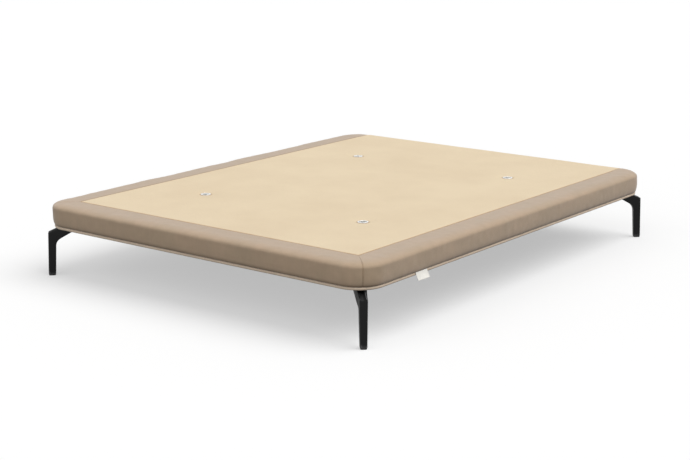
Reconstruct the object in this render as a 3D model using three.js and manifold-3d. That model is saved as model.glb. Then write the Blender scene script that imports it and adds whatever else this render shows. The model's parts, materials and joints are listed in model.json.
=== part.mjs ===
// A low upholstered mattress base: a wooden frame with a boarded deck, a foam top, a sewn cover
// with four air vents, and four cast corner legs. Lengths are in millimetres, Z is up, the floor
// is at zero, X runs across the foot end and Y runs from the foot to the head.

import * as THREE from 'three';
import { mergeVertices } from 'three/addons/utils/BufferGeometryUtils.js';
import Module from 'manifold-3d';

const wasm = await Module();
wasm.setup();

// Overall size
const baseWidth = 1500;
const baseLength = 1900;
const totalHeight = 277;

// Gap between pieces that touch, how far a cutting tool runs past a face, and how near two
// points of a mesh lie when they are one
const fitGap = 0.3;
const cutOverrun = 2;
const mergeDistance = 0.003;

// Cover: border bands, their rounded top edge and their tucked lower edge
const coverThickness = 2.5;
const borderWidth = 102;
const innerCornerRadius = 2;
const seamDip = 1.2;
const seamDipRun = 8;
const edgeFlat = 52;
const edgeDrop = 21;
const edgeExponent = 2.6;
const tuckDepth = 7;
const tuckHeight = 36;
const headSeamShare = 0.7;
const headSeamGap = 0.9;
const mitreShare = 0.5;

// Piping and the tape that holds it under the frame
const pipingRadius = 5.5;
const pipingInset = 5;
const tapeThickness = 1.2;
const tapeReach = 30;

// Wooden frame and deck
const frameInset = 19;
const railThickness = 28;
const frameHeight = 44.5;
const blockSize = 150;
const blockChamfer = 40;
const barCount = 5;
const barWidth = 60;
const barHeight = 25;
const deckThickness = 9;
const deckJointGap = 0.6;
const foamThickness = 29.3;

// Dust cover
const dustCoverThickness = 1;
const dustCoverInset = 31;

// Air vents
const ventSpacingX = 747;
const ventSpacingY = 954;
const ventShiftY = 15;
const ventRimRadius = 20;
const ventRimThickness = 1.6;
const ventBoreRadius = 13.5;
const ventCollarWall = 1.2;
const ventCollarLength = 9;
const ventLipWidth = 1.2;
const ventLipThickness = 1;
const screenThickness = 0.8;
const screenHoleRadius = 2.9;
const screenHolePitch = 7.6;
const backRingWidth = 4.5;
const backRingThickness = 1.2;
const dimpleRadius = 58;
const dimpleDepth = 4;
const dimpleSeatMargin = 1.5;
const airHoleRadius = 15;

// Label
const labelWidth = 65;
const labelDrop = 26;
const labelThickness = 0.8;
const labelFromFoot = 316;
const labelTuck = 3;
const labelRootThickness = 0.1;

// Leg: its side view is drawn along the diagonal, from the rounded corner of the cover outwards,
// and its drops are measured down from the underside of the base
const footOuterReach = 25;
const postTopReach = 20;
const postTopDrop = 20;
const postDepth = 27;
const postWidthFoot = 24;
const postWidthTop = 28;
const armWidth = 48;
const armTopInset = 40;
const armEndInset = 88;
const armEndDrop = 8.5;
const bendInset = 8;
const bendDrop = 54;
const bendRun = 22;
const legEdgeRadius = 6;
const scoopRadius = 13;
const scoopDepth = 6;

// Mounting plate, its screws, and the tip under the post
const plateThickness = 5;
const plateFrontInset = 38;
const plateShoulderInset = 72;
const plateBackInset = 132;
const plateFrontHalfWidth = 25;
const plateHalfWidth = 50;
const plateBackHalfWidth = 22;
const plateCornerRadius = 8;
const sideScrewInset = 66;
const sideScrewSpread = 37;
const rearScrewInset = 119;
const screwShaftRadius = 2;
const screwLength = 32;
const screwHeadRadius = 5;
const screwHeadHeight = 2.4;
const screwSocketRadius = 1.6;
const screwSocketDepth = 1.4;
const glideHeight = 6;
const glideMargin = 1;
const glideCornerRadius = 6;
const glideStemRadius = 4;
const glideStemHeight = 12;

// Colours, roughness and metalness of the finishes
const finishes = {
  borderFabric: { color: 0xa8967f, roughness: 0.92, metalness: 0 },
  panelFabric: { color: 0xe6d6ba, roughness: 0.95, metalness: 0 },
  pipingFabric: { color: 0xc4b49f, roughness: 0.85, metalness: 0 },
  wood: { color: 0xc9a777, roughness: 0.75, metalness: 0 },
  board: { color: 0xb88f5e, roughness: 0.8, metalness: 0 },
  foam: { color: 0xf2e9c8, roughness: 1, metalness: 0 },
  dustCloth: { color: 0x3a3a3c, roughness: 0.95, metalness: 0 },
  labelCloth: { color: 0xf0ebdf, roughness: 0.8, metalness: 0 },
  legMetal: { color: 0x151515, roughness: 0.42, metalness: 0.4 },
  ventMetal: { color: 0xb4b1ac, roughness: 0.35, metalness: 0.9 },
  screwSteel: { color: 0x8b8d90, roughness: 0.4, metalness: 0.9 },
  glidePlastic: { color: 0x0e0e0e, roughness: 0.6, metalness: 0 },
};

// Values that follow from the sizes above. The layers are stacked from the top down, so the legs
// take up what is left of the height.
const halfWidth = baseWidth / 2;
const halfLength = baseLength / 2;
const cornerRadius = borderWidth + innerCornerRadius;
const edgeRun = borderWidth - edgeFlat;
const foamTop = totalHeight - coverThickness - fitGap;
const foamBottom = foamTop - foamThickness;
const deckTop = foamBottom - fitGap;
const deckBottom = deckTop - deckThickness;
const frameTop = deckBottom - fitGap;
const frameBottom = frameTop - frameHeight;
const plateTop = frameBottom - fitGap;
const undersideHeight = plateTop - plateThickness;
const postTopHeight = undersideHeight - postTopDrop;
const pipingCentreHeight = undersideHeight + pipingRadius;
const grooveHeight = pipingCentreHeight + pipingRadius + fitGap;
const flangeTop = grooveHeight + coverThickness;
const ventSeatHeight = totalHeight - dimpleDepth;
const ventCollarRadius = ventBoreRadius + ventCollarWall;
const ventHoleRadius = ventCollarRadius + fitGap;
const dimpleSeatRadius = ventRimRadius + dimpleSeatMargin;

// Counts of steps in the rounded shapes
const quarterArcSteps = 8;
const edgeSteps = 7;
const tuckSteps = 3;
const pipingSteps = 8;
const roundSteps = 16;
const smallRoundSteps = 8;
const smallCornerSteps = 2;
const screenHoleRings = 1;
const hexSides = 6;
const dimpleRings = 4;
const legBevelSteps = 2;

const up = new THREE.Vector3(0, 0, 1);

// Makes a plain closed geometry of positions only, with its faces pointing out.
function closedGeometry(source) {
  const plain = new THREE.BufferGeometry();
  const loose = source.index ? source.toNonIndexed() : source;
  plain.setAttribute('position', loose.getAttribute('position').clone());
  const merged = mergeVertices(plain, mergeDistance);
  const index = Array.from(merged.index.array);
  const faces = [];
  for (let i = 0; i < index.length; i += 3) {
    const [a, b, c] = index.slice(i, i + 3);
    if (a !== b && b !== c && c !== a) faces.push(a, b, c);
  }
  const points = merged.getAttribute('position');
  const corners = [new THREE.Vector3(), new THREE.Vector3(), new THREE.Vector3()];
  let volume = 0;
  for (let i = 0; i < faces.length; i += 3) {
    corners.forEach((corner, k) => corner.fromBufferAttribute(points, faces[i + k]));
    volume += corners[0].dot(corners[1].clone().cross(corners[2]));
  }
  if (volume < 0) {
    for (let i = 0; i < faces.length; i += 3) {
      [faces[i + 1], faces[i + 2]] = [faces[i + 2], faces[i + 1]];
    }
  }
  merged.setIndex(faces);
  merged.computeVertexNormals();
  return merged;
}

function toSolid(source) {
  const geometry = closedGeometry(source);
  return new wasm.Manifold(new wasm.Mesh({
    numProp: 3,
    vertProperties: new Float32Array(geometry.getAttribute('position').array),
    triVerts: new Uint32Array(geometry.index.array),
  }));
}

function toGeometry(solid) {
  const mesh = solid.getMesh();
  const geometry = new THREE.BufferGeometry();
  const positions = new Float32Array((mesh.vertProperties.length / mesh.numProp) * 3);
  for (let i = 0; i < positions.length / 3; i += 1) {
    for (let k = 0; k < 3; k += 1) positions[3 * i + k] = mesh.vertProperties[mesh.numProp * i + k];
  }
  geometry.setAttribute('position', new THREE.BufferAttribute(positions, 3));
  geometry.setIndex(Array.from(mesh.triVerts));
  geometry.computeVertexNormals();
  return geometry;
}

function cutFrom(body, tools) {
  const left = tools.reduce((solid, tool) => solid.subtract(toSolid(tool)), toSolid(body));
  return toGeometry(left);
}

const part = new THREE.Group();

function addPiece(name, geometry, finish, parent = part) {
  const material = new THREE.MeshStandardMaterial({ ...finishes[finish], flatShading: true });
  const mesh = new THREE.Mesh(geometry, material);
  mesh.name = name;
  parent.add(mesh);
  return mesh;
}

// A round bar or hole along Z, from one height to another.
function uprightCylinder(radius, bottom, top, x = 0, y = 0, steps = roundSteps) {
  const cylinder = new THREE.CylinderGeometry(radius, radius, top - bottom, steps);
  cylinder.rotateX(Math.PI / 2);
  cylinder.translate(x, y, (bottom + top) / 2);
  return cylinder;
}

// A flat plate. A shape's arcs get two steps for each curve step, as many as the swept corners.
function plateFromShape(shape, bottom, top, curveSteps = quarterArcSteps / 2) {
  const plate = new THREE.ExtrudeGeometry(shape, {
    depth: top - bottom,
    bevelEnabled: false,
    curveSegments: curveSteps,
  });
  plate.translate(0, 0, bottom);
  return plate;
}

// A closed shape through the points, with each corner rounded by the same radius.
function roundedShape(points, radius) {
  const shape = new THREE.Shape();
  points.forEach((corner, i) => {
    const before = points[(i + points.length - 1) % points.length];
    const after = points[(i + 1) % points.length];
    const start = corner.clone().add(before.clone().sub(corner).setLength(radius));
    const end = corner.clone().add(after.clone().sub(corner).setLength(radius));
    if (i === 0) shape.moveTo(start.x, start.y);
    else shape.lineTo(start.x, start.y);
    shape.quadraticCurveTo(corner.x, corner.y, end.x, end.y);
  });
  shape.closePath();
  return shape;
}

// The four corners of the base, in order round it: foot right, head right, head left, foot left.
const baseCorners = [
  { name: 'foot_right', x: 1, y: -1, turn: -Math.PI / 4 },
  { name: 'head_right', x: 1, y: 1, turn: Math.PI / 4 },
  { name: 'head_left', x: -1, y: 1, turn: (3 * Math.PI) / 4 },
  { name: 'foot_left', x: -1, y: -1, turn: (5 * Math.PI) / 4 },
];

// One station on the way round the base. It gives the place of a point that lies so far inside
// the outer face. share runs from 0 to 1 over the corner's quarter turn.
function edgeStation(corner, share, slide = 0) {
  const angle = corner.turn + (share - 0.5) * (Math.PI / 2);
  const centreX = corner.x * (halfWidth - cornerRadius) - slide * Math.sin(angle);
  const centreY = corner.y * (halfLength - cornerRadius) + slide * Math.cos(angle);
  return (inset, height) => [
    centreX + (cornerRadius - inset) * Math.cos(angle),
    centreY + (cornerRadius - inset) * Math.sin(angle),
    height,
  ];
}

function cornerStations(corner, from, to, slideStart = 0, slideEnd = 0) {
  const steps = Math.max(1, Math.round(Math.abs(to - from) * quarterArcSteps));
  const stations = [];
  for (let i = 0; i <= steps; i += 1) {
    const slide = i === 0 ? slideStart : i === steps ? slideEnd : 0;
    stations.push(edgeStation(corner, from + ((to - from) * i) / steps, slide));
  }
  return stations;
}

// Carries a closed section of [inset, height] points through the stations.
function sweepRound(section, stations, closed = false) {
  const positions = [];
  const rings = stations.map((station) => section.map(([inset, height]) => station(inset, height)));
  const ringCount = closed ? rings.length : rings.length - 1;
  for (let i = 0; i < ringCount; i += 1) {
    const ring = rings[i];
    const next = rings[(i + 1) % rings.length];
    for (let j = 0; j < section.length; j += 1) {
      const k = (j + 1) % section.length;
      positions.push(...ring[j], ...next[j], ...next[k], ...ring[j], ...next[k], ...ring[k]);
    }
  }
  if (!closed) {
    const outline = section.map(([inset, height]) => new THREE.Vector2(inset, height));
    const clockwise = THREE.ShapeUtils.area(outline) < 0;
    const first = rings[0];
    const last = rings[rings.length - 1];
    for (const cap of THREE.ShapeUtils.triangulateShape(outline, [])) {
      const [a, b, c] = clockwise ? [cap[0], cap[2], cap[1]] : cap;
      positions.push(...first[a], ...first[b], ...first[c]);
      positions.push(...last[c], ...last[b], ...last[a]);
    }
  }
  const geometry = new THREE.BufferGeometry();
  geometry.setAttribute('position', new THREE.Float32BufferAttribute(positions, 3));
  return closedGeometry(geometry);
}

// The rounded top edge of the cover: a share of 0 is its start on the flat top and 1 its end on the side.
function topEdgePoint(share) {
  const angle = (share * Math.PI) / 2;
  const power = 2 / edgeExponent;
  return [
    edgeRun * (1 - Math.sin(angle) ** power),
    totalHeight - edgeDrop * (1 - Math.cos(angle) ** power),
  ];
}

// The outer face of the cover from a share of the top edge down to the groove over the piping.
function coverFace(fromShare) {
  const points = [];
  for (let i = 0; i <= edgeSteps; i += 1) {
    points.push(topEdgePoint(fromShare + ((1 - fromShare) * i) / edgeSteps));
  }
  for (let i = 0; i <= tuckSteps; i += 1) {
    const angle = ((i / tuckSteps) * Math.PI) / 2;
    points.push([
      tuckDepth * (1 - Math.cos(angle)),
      grooveHeight + tuckHeight * (1 - Math.sin(angle)),
    ]);
  }
  return points;
}

// Moves a line of [inset, height] points inwards, square to the line, by a distance.
function offsetLine(line, distance) {
  return line.map((point, i) => {
    const normals = [];
    if (i > 0) normals.push(segmentNormal(line[i - 1], point));
    if (i < line.length - 1) normals.push(segmentNormal(point, line[i + 1]));
    const sum = normals.reduce((a, b) => [a[0] + b[0], a[1] + b[1]], [0, 0]);
    const scale = (distance * normals.length) / (sum[0] ** 2 + sum[1] ** 2);
    return [point[0] + sum[0] * scale, point[1] + sum[1] * scale];
  });
}

function segmentNormal(from, to) {
  const run = [to[0] - from[0], to[1] - from[1]];
  const length = Math.hypot(...run);
  return [-run[1] / length, run[0] / length];
}

function coverSection(face) {
  const flangeEnd = frameInset - fitGap;
  const inner = offsetLine(face, coverThickness);
  inner.pop();
  return [
    ...face,
    [flangeEnd, grooveHeight],
    [flangeEnd, flangeTop],
    [tuckDepth + coverThickness, flangeTop],
    ...inner.reverse(),
  ];
}

const [footRight, headRight, headLeft, footLeft] = baseCorners;
const seamSlide = fitGap / 2;

function addCovers() {
  const seamInset = borderWidth - seamSlide;
  const bandTop = [
    [seamInset, totalHeight - seamDip],
    [seamInset - seamDipRun, totalHeight],
  ];
  const bandSection = coverSection([...bandTop, ...coverFace(0)]);
  addPiece('border_foot', sweepRound(bandSection, [
    ...cornerStations(footLeft, mitreShare, 1, seamSlide, 0),
    ...cornerStations(footRight, 0, mitreShare, 0, -seamSlide),
  ]), 'borderFabric');
  addPiece('border_right', sweepRound(bandSection, [
    ...cornerStations(footRight, mitreShare, 1, seamSlide, 0),
    ...cornerStations(headRight, 0, 1, 0, -seamSlide),
  ]), 'borderFabric');
  addPiece('border_left', sweepRound(bandSection, [
    ...cornerStations(headLeft, 0, 1, seamSlide, 0),
    ...cornerStations(footLeft, 0, mitreShare, 0, -seamSlide),
  ]), 'borderFabric');
  const headSection = coverSection(coverFace(headSeamShare));
  addPiece('border_head', sweepRound(headSection, [
    edgeStation(headRight, 1, seamSlide),
    edgeStation(headLeft, 0, -seamSlide),
  ]), 'borderFabric');
}

function ventPlaces() {
  return baseCorners.map((corner) => ({
    name: corner.name,
    x: (corner.x * ventSpacingX) / 2,
    y: ventShiftY + (corner.y * ventSpacingY) / 2,
  }));
}

// How far the cover and the foam dip below the flat top at a distance from a vent's middle.
function dimpleDrop(radius) {
  const share = (dimpleRadius - radius) / (dimpleRadius - dimpleSeatRadius);
  const clamped = Math.min(1, Math.max(0, share));
  return dimpleDepth * clamped * clamped * (3 - 2 * clamped);
}

// A sheet that is closed with an equal sheet below it: top and bottom hold matching points.
function closeSheet(top, bottom, faces) {
  const edges = new Map();
  const all = [...faces];
  const count = top.length;
  for (const [a, b, c] of faces) {
    all.push([a + count, c + count, b + count]);
    for (const [from, to] of [[a, b], [b, c], [c, a]]) edges.set(`${from} ${to}`, [from, to]);
  }
  for (const [from, to] of edges.values()) {
    if (edges.has(`${to} ${from}`)) continue;
    all.push([from, from + count, to + count], [from, to + count, to]);
  }
  const points = [...top, ...bottom];
  const geometry = new THREE.BufferGeometry();
  const positions = all.flatMap((face) => face.flatMap((i) => points[i]));
  geometry.setAttribute('position', new THREE.Float32BufferAttribute(positions, 3));
  return closedGeometry(geometry);
}

function addTopPanel() {
  const sideX = halfWidth - borderWidth - seamSlide;
  const headX = halfWidth - cornerRadius - seamSlide;
  const stepY = halfLength - cornerRadius;
  const foldY = halfLength - edgeRun;
  const footY = -halfLength + borderWidth + seamSlide;
  const turnRadius = innerCornerRadius;
  const outline = [];
  for (let i = 0; i <= tuckSteps; i += 1) {
    const angle = ((i / tuckSteps) * Math.PI) / 2;
    outline.push(new THREE.Vector2(
      sideX - turnRadius + turnRadius * Math.sin(angle),
      footY + turnRadius - turnRadius * Math.cos(angle),
    ));
  }
  outline.push(new THREE.Vector2(sideX, stepY));
  outline.push(new THREE.Vector2(headX, stepY + innerCornerRadius));
  outline.push(new THREE.Vector2(headX, foldY));
  const mirrored = outline.map((point) => new THREE.Vector2(-point.x, point.y)).reverse();
  const contour = [...outline, ...mirrored];
  const holes = ventPlaces().map((vent) => {
    const ring = [];
    for (let i = 0; i < roundSteps; i += 1) {
      const angle = (-i / roundSteps) * 2 * Math.PI;
      const x = vent.x + dimpleRadius * Math.cos(angle);
      ring.push(new THREE.Vector2(x, vent.y + dimpleRadius * Math.sin(angle)));
    }
    return ring;
  });
  const flat = [...contour, ...holes.flat()];
  const top = flat.map((point) => [point.x, point.y, totalHeight]);
  const bottom = flat.map((point) => [point.x, point.y, totalHeight - coverThickness]);
  const faces = THREE.ShapeUtils.triangulateShape(contour, holes);

  const ringRadii = [];
  for (let ring = 1; ring <= dimpleRings; ring += 1) {
    ringRadii.push(dimpleRadius + ((dimpleSeatRadius - dimpleRadius) * ring) / dimpleRings);
  }
  ringRadii.push(ventHoleRadius);
  holes.forEach((hole, holeIndex) => {
    const vent = ventPlaces()[holeIndex];
    let outer = contour.length + holeIndex * roundSteps;
    for (const radius of ringRadii) {
      const inner = top.length;
      const height = totalHeight - dimpleDrop(radius);
      for (const point of hole) {
        const x = vent.x + ((point.x - vent.x) * radius) / dimpleRadius;
        const y = vent.y + ((point.y - vent.y) * radius) / dimpleRadius;
        top.push([x, y, height]);
        bottom.push([x, y, height - coverThickness]);
      }
      for (let i = 0; i < roundSteps; i += 1) {
        const k = (i + 1) % roundSteps;
        faces.push([outer + k, outer + i, inner + i], [outer + k, inner + i, inner + k]);
      }
      outer = inner;
    }
  });

  // The head end of the panel follows the rounded edge down to its seam.
  const edge = [];
  for (let i = 0; i <= edgeSteps; i += 1) edge.push(topEdgePoint((headSeamShare * i) / edgeSteps));
  const [beforeLast, last] = edge.slice(-2);
  const lastRun = Math.hypot(last[0] - beforeLast[0], last[1] - beforeLast[1]);
  for (const k of [0, 1]) last[k] += ((beforeLast[k] - last[k]) * headSeamGap) / lastRun;
  const under = offsetLine(edge, coverThickness);
  let right = contour.findIndex((point) => point.x > 0 && point.y === foldY);
  let left = contour.findIndex((point) => point.x < 0 && point.y === foldY);
  for (let i = 1; i <= edgeSteps; i += 1) {
    const nextRight = top.length;
    const nextLeft = nextRight + 1;
    for (const x of [headX, -headX]) {
      top.push([x, halfLength - edge[i][0], edge[i][1]]);
      bottom.push([x, halfLength - under[i][0], under[i][1]]);
    }
    faces.push([right, nextRight, nextLeft], [right, nextLeft, left]);
    right = nextRight;
    left = nextLeft;
  }
  addPiece('top_panel', closeSheet(top, bottom, faces), 'panelFabric');
}

function addPiping() {
  const centreInset = pipingInset + pipingRadius;
  const tapeTop = frameBottom - fitGap;
  const tapeBottom = tapeTop - tapeThickness;
  const startAngle = Math.asin((tapeTop - pipingCentreHeight) / pipingRadius);
  const endAngle = 2 * Math.PI + Math.asin((tapeBottom - pipingCentreHeight) / pipingRadius);
  const section = [[tapeReach, tapeTop]];
  for (let i = 0; i <= pipingSteps; i += 1) {
    const angle = startAngle + ((endAngle - startAngle) * i) / pipingSteps;
    section.push([
      centreInset + pipingRadius * Math.cos(angle),
      pipingCentreHeight + pipingRadius * Math.sin(angle),
    ]);
  }
  section.push([tapeReach, tapeBottom]);
  const stations = baseCorners.flatMap((corner) => cornerStations(corner, 0, 1));
  addPiece('piping', sweepRound(section, stations, true), 'pipingFabric');
}

// A rectangle inside the outer face of the base, with the base's rounded corners.
function insetShape(inset, footY = -halfLength + inset, headY = halfLength - inset) {
  const radius = cornerRadius - inset;
  const x = halfWidth - inset;
  const footRound = footY === -halfLength + inset;
  const headRound = headY === halfLength - inset;
  const shape = new THREE.Shape();
  if (footRound) {
    shape.absarc(-x + radius, footY + radius, radius, Math.PI, 1.5 * Math.PI);
    shape.absarc(x - radius, footY + radius, radius, -0.5 * Math.PI, 0);
  } else {
    shape.moveTo(-x, footY);
    shape.lineTo(x, footY);
  }
  if (headRound) {
    shape.absarc(x - radius, headY - radius, radius, 0, 0.5 * Math.PI);
    shape.absarc(-x + radius, headY - radius, radius, 0.5 * Math.PI, Math.PI);
  } else {
    shape.lineTo(x, headY);
    shape.lineTo(-x, headY);
  }
  shape.closePath();
  return shape;
}

// The middle of each leg's frame: the outermost point of the cover's rounded corner.
function legOrigin(corner) {
  const back = cornerRadius * (1 - Math.SQRT1_2);
  return [corner.x * (halfWidth - back), corner.y * (halfLength - back)];
}

function legPlace(corner, reach, side) {
  const [x, y] = legOrigin(corner);
  const cos = Math.cos(corner.turn);
  const sin = Math.sin(corner.turn);
  return [x + reach * cos - side * sin, y + reach * sin + side * cos];
}

const screwPlaces = [
  [-sideScrewInset, sideScrewSpread],
  [-sideScrewInset, -sideScrewSpread],
  [-rearScrewInset, 0],
];

function addFrame() {
  const railInset = frameInset + railThickness / 2;
  const alongX = baseWidth - 2 * blockSize - 2 * fitGap;
  const alongY = baseLength - 2 * blockSize - 2 * fitGap;
  const middleHeight = frameBottom + frameHeight / 2;
  const rails = [
    ['rail_foot', alongX, railThickness, 0, -halfLength + railInset],
    ['rail_head', alongX, railThickness, 0, halfLength - railInset],
    ['rail_left', railThickness, alongY, -halfWidth + railInset, 0],
    ['rail_right', railThickness, alongY, halfWidth - railInset, 0],
  ];
  for (const [name, width, length, x, y] of rails) {
    const rail = new THREE.BoxGeometry(width, length, frameHeight);
    addPiece(name, rail, 'wood').position.set(x, y, middleHeight);
  }

  for (const corner of baseCorners) {
    const place = (insetX, insetY) => [corner.x * (halfWidth - insetX), corner.y * (halfLength - insetY)];
    const shape = new THREE.Shape();
    const steps = quarterArcSteps;
    const radius = cornerRadius - frameInset;
    for (let i = 0; i <= steps; i += 1) {
      const angle = ((i / steps) * Math.PI) / 2;
      const insetX = cornerRadius - radius * Math.cos(angle);
      const insetY = cornerRadius - radius * Math.sin(angle);
      if (i === 0) shape.moveTo(...place(insetX, insetY));
      else shape.lineTo(...place(insetX, insetY));
    }
    shape.lineTo(...place(blockSize, frameInset));
    shape.lineTo(...place(blockSize, blockSize - blockChamfer));
    shape.lineTo(...place(blockSize - blockChamfer, blockSize));
    shape.lineTo(...place(frameInset, blockSize));
    shape.closePath();
    const block = plateFromShape(shape, frameBottom, frameTop);
    const holeTop = frameBottom + screwLength;
    const holes = screwPlaces.map(([reach, side]) => {
      const [x, y] = legPlace(corner, reach, side);
      return uprightCylinder(
        screwShaftRadius + fitGap, frameBottom - cutOverrun, holeTop, x, y, smallRoundSteps,
      );
    });
    addPiece(`corner_block_${corner.name}`, cutFrom(block, holes), 'wood');
  }

  const innerHalfLength = halfLength - frameInset - railThickness;
  const barLength = baseWidth - 2 * (frameInset + railThickness + fitGap);
  for (let i = 1; i <= barCount; i += 1) {
    const bar = new THREE.BoxGeometry(barLength, barWidth, barHeight);
    const y = -innerHalfLength + (2 * innerHalfLength * i) / (barCount + 1);
    addPiece(`cross_bar_${i}`, bar, 'wood').position.set(0, y, frameTop - barHeight / 2);
  }
}

function addDeck() {
  const boards = [
    ['deck_board_foot', -halfLength + frameInset, -deckJointGap / 2],
    ['deck_board_head', deckJointGap / 2, halfLength - frameInset],
  ];
  for (const [name, footY, headY] of boards) {
    const board = plateFromShape(insetShape(frameInset, footY, headY), deckBottom, deckTop);
    const airHoles = ventPlaces()
      .filter((vent) => vent.y > footY && vent.y < headY)
      .map((vent) => uprightCylinder(
        airHoleRadius, deckBottom - cutOverrun, deckTop + cutOverrun, vent.x, vent.y,
      ));
    addPiece(name, cutFrom(board, airHoles), 'board');
  }
}

function addFoam() {
  const slabInset = borderWidth + seamSlide;
  const slab = plateFromShape(insetShape(slabInset), foamBottom, foamTop);
  const wellRadius = ventCollarRadius + backRingWidth + 2 * fitGap;
  const wells = ventPlaces().map((vent) => {
    const profile = [new THREE.Vector2(0, foamBottom - cutOverrun)];
    profile.push(new THREE.Vector2(wellRadius, foamBottom - cutOverrun));
    for (let i = dimpleRings; i >= 0; i -= 1) {
      const radius = dimpleRadius + ((dimpleSeatRadius - dimpleRadius) * i) / dimpleRings;
      if (i === dimpleRings) {
        profile.push(new THREE.Vector2(wellRadius, foamTop - dimpleDrop(radius)));
      }
      profile.push(new THREE.Vector2(radius + fitGap, foamTop - dimpleDrop(radius)));
    }
    profile.push(new THREE.Vector2(dimpleRadius + fitGap, foamTop + cutOverrun));
    profile.push(new THREE.Vector2(0, foamTop + cutOverrun));
    const well = new THREE.LatheGeometry(profile, roundSteps);
    well.rotateX(Math.PI / 2);
    well.translate(vent.x, vent.y, 0);
    return well;
  });
  addPiece('top_foam', cutFrom(slab, wells), 'foam');

  const backFace = frameInset - fitGap;
  const foamFace = offsetLine(coverFace(0), coverThickness + fitGap);
  foamFace.pop();
  const lastInset = tuckDepth + coverThickness + fitGap;
  const section = [
    [borderWidth - seamSlide, foamTop - seamDip],
    [borderWidth - seamSlide - seamDipRun, foamTop],
    ...foamFace,
    [lastInset, flangeTop + fitGap],
    [backFace, flangeTop + fitGap],
    [backFace, foamBottom],
    [borderWidth - seamSlide, foamBottom],
  ];
  baseCorners.forEach((corner, i) => {
    const next = baseCorners[(i + 1) % baseCorners.length];
    const side = ['right', 'head', 'left', 'foot'][i];
    addPiece(`edge_foam_${side}`, sweepRound(section, [
      ...cornerStations(corner, mitreShare, 1, seamSlide, 0),
      ...cornerStations(next, 0, mitreShare, 0, -seamSlide),
    ]), 'foam');
  });
}

function lathePiece(profile) {
  const points = [...profile, profile[0]].map(([radius, height]) => new THREE.Vector2(radius, height));
  const lathe = new THREE.LatheGeometry(points, roundSteps);
  lathe.rotateX(Math.PI / 2);
  return closedGeometry(lathe);
}

function addVents() {
  const flangeBottom = fitGap;
  const flangeTopHeight = flangeBottom + ventRimThickness;
  const bevel = ventRimThickness / 2;
  const collarBottom = flangeBottom - ventCollarLength;
  const lipRadius = ventBoreRadius - ventLipWidth;
  const lipTop = collarBottom + ventLipThickness;
  const rim = lathePiece([
    [lipRadius, collarBottom],
    [ventCollarRadius, collarBottom],
    [ventCollarRadius, flangeBottom],
    [ventRimRadius, flangeBottom],
    [ventRimRadius, flangeTopHeight - bevel],
    [ventRimRadius - bevel, flangeTopHeight],
    [ventBoreRadius + bevel, flangeTopHeight],
    [ventBoreRadius, flangeTopHeight - bevel],
    [ventBoreRadius, lipTop],
    [lipRadius, lipTop],
  ]);

  const screenShape = new THREE.Shape();
  screenShape.absarc(0, 0, ventBoreRadius - fitGap, 0, 2 * Math.PI);
  for (let q = -screenHoleRings; q <= screenHoleRings; q += 1) {
    for (let r = -screenHoleRings; r <= screenHoleRings; r += 1) {
      if (Math.abs(q + r) > screenHoleRings) continue;
      const x = screenHolePitch * (q + r / 2);
      const y = screenHolePitch * r * Math.sin(Math.PI / 3);
      const hole = new THREE.Path();
      for (let i = 0; i < hexSides; i += 1) {
        const angle = (i / hexSides) * 2 * Math.PI;
        const holeX = x + screenHoleRadius * Math.cos(angle);
        const holeY = y + screenHoleRadius * Math.sin(angle);
        if (i === 0) hole.moveTo(holeX, holeY);
        else hole.lineTo(holeX, holeY);
      }
      hole.closePath();
      screenShape.holes.push(hole);
    }
  }
  const screenBottom = lipTop + fitGap;
  const screen = closedGeometry(plateFromShape(screenShape, screenBottom, screenBottom + screenThickness));

  const ringTop = -coverThickness - fitGap;
  const backRing = lathePiece([
    [ventHoleRadius, ringTop - backRingThickness],
    [ventHoleRadius + backRingWidth, ringTop - backRingThickness],
    [ventHoleRadius + backRingWidth, ringTop],
    [ventHoleRadius, ringTop],
  ]);

  for (const vent of ventPlaces()) {
    const group = new THREE.Group();
    group.position.set(vent.x, vent.y, ventSeatHeight);
    part.add(group);
    addPiece(`vent_rim_${vent.name}`, rim.clone(), 'ventMetal', group);
    addPiece(`vent_screen_${vent.name}`, screen.clone(), 'ventMetal', group);
    addPiece(`vent_back_ring_${vent.name}`, backRing.clone(), 'ventMetal', group);
  }
}

function addLabel() {
  const clear = fitGap + labelThickness;
  const outerInset = pipingInset - clear;
  const rootTop = grooveHeight - labelRootThickness;
  const rootBottom = rootTop - labelRootThickness;
  const bottom = pipingCentreHeight - labelDrop;
  const section = [
    [outerInset, bottom],
    [outerInset, rootTop],
    [pipingInset + labelTuck, rootTop],
    [pipingInset + labelTuck, rootBottom],
    [outerInset + labelThickness, rootBottom],
    [outerInset + labelThickness, bottom],
  ];
  const footY = -halfLength + labelFromFoot - labelWidth / 2;
  const stations = [footY, footY + labelWidth].map((y) => (
    (inset, height) => [halfWidth - inset, y, height]
  ));
  addPiece('label', sweepRound(section, stations), 'labelCloth');
}

function plateShape(grow) {
  const front = -plateFrontInset + grow;
  const back = -plateBackInset - grow;
  const points = [
    [front, -plateFrontHalfWidth - grow],
    [front, plateFrontHalfWidth + grow],
    [-plateShoulderInset, plateHalfWidth + grow],
    [back, plateBackHalfWidth + grow],
    [back, -plateBackHalfWidth - grow],
    [-plateShoulderInset, -plateHalfWidth - grow],
  ].map(([reach, side]) => new THREE.Vector2(reach, side));
  return roundedShape(points, plateCornerRadius);
}

// How wide the leg is at a reach and a height: it widens up the post and again along the arm.
function legWidth(reach, height) {
  const climb = Math.min(1, Math.max(0, height / postTopHeight));
  const along = Math.min(1, Math.max(0, -reach / armEndInset));
  return postWidthFoot + (postWidthTop - postWidthFoot) * climb + (armWidth - postWidthTop) * along;
}

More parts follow.
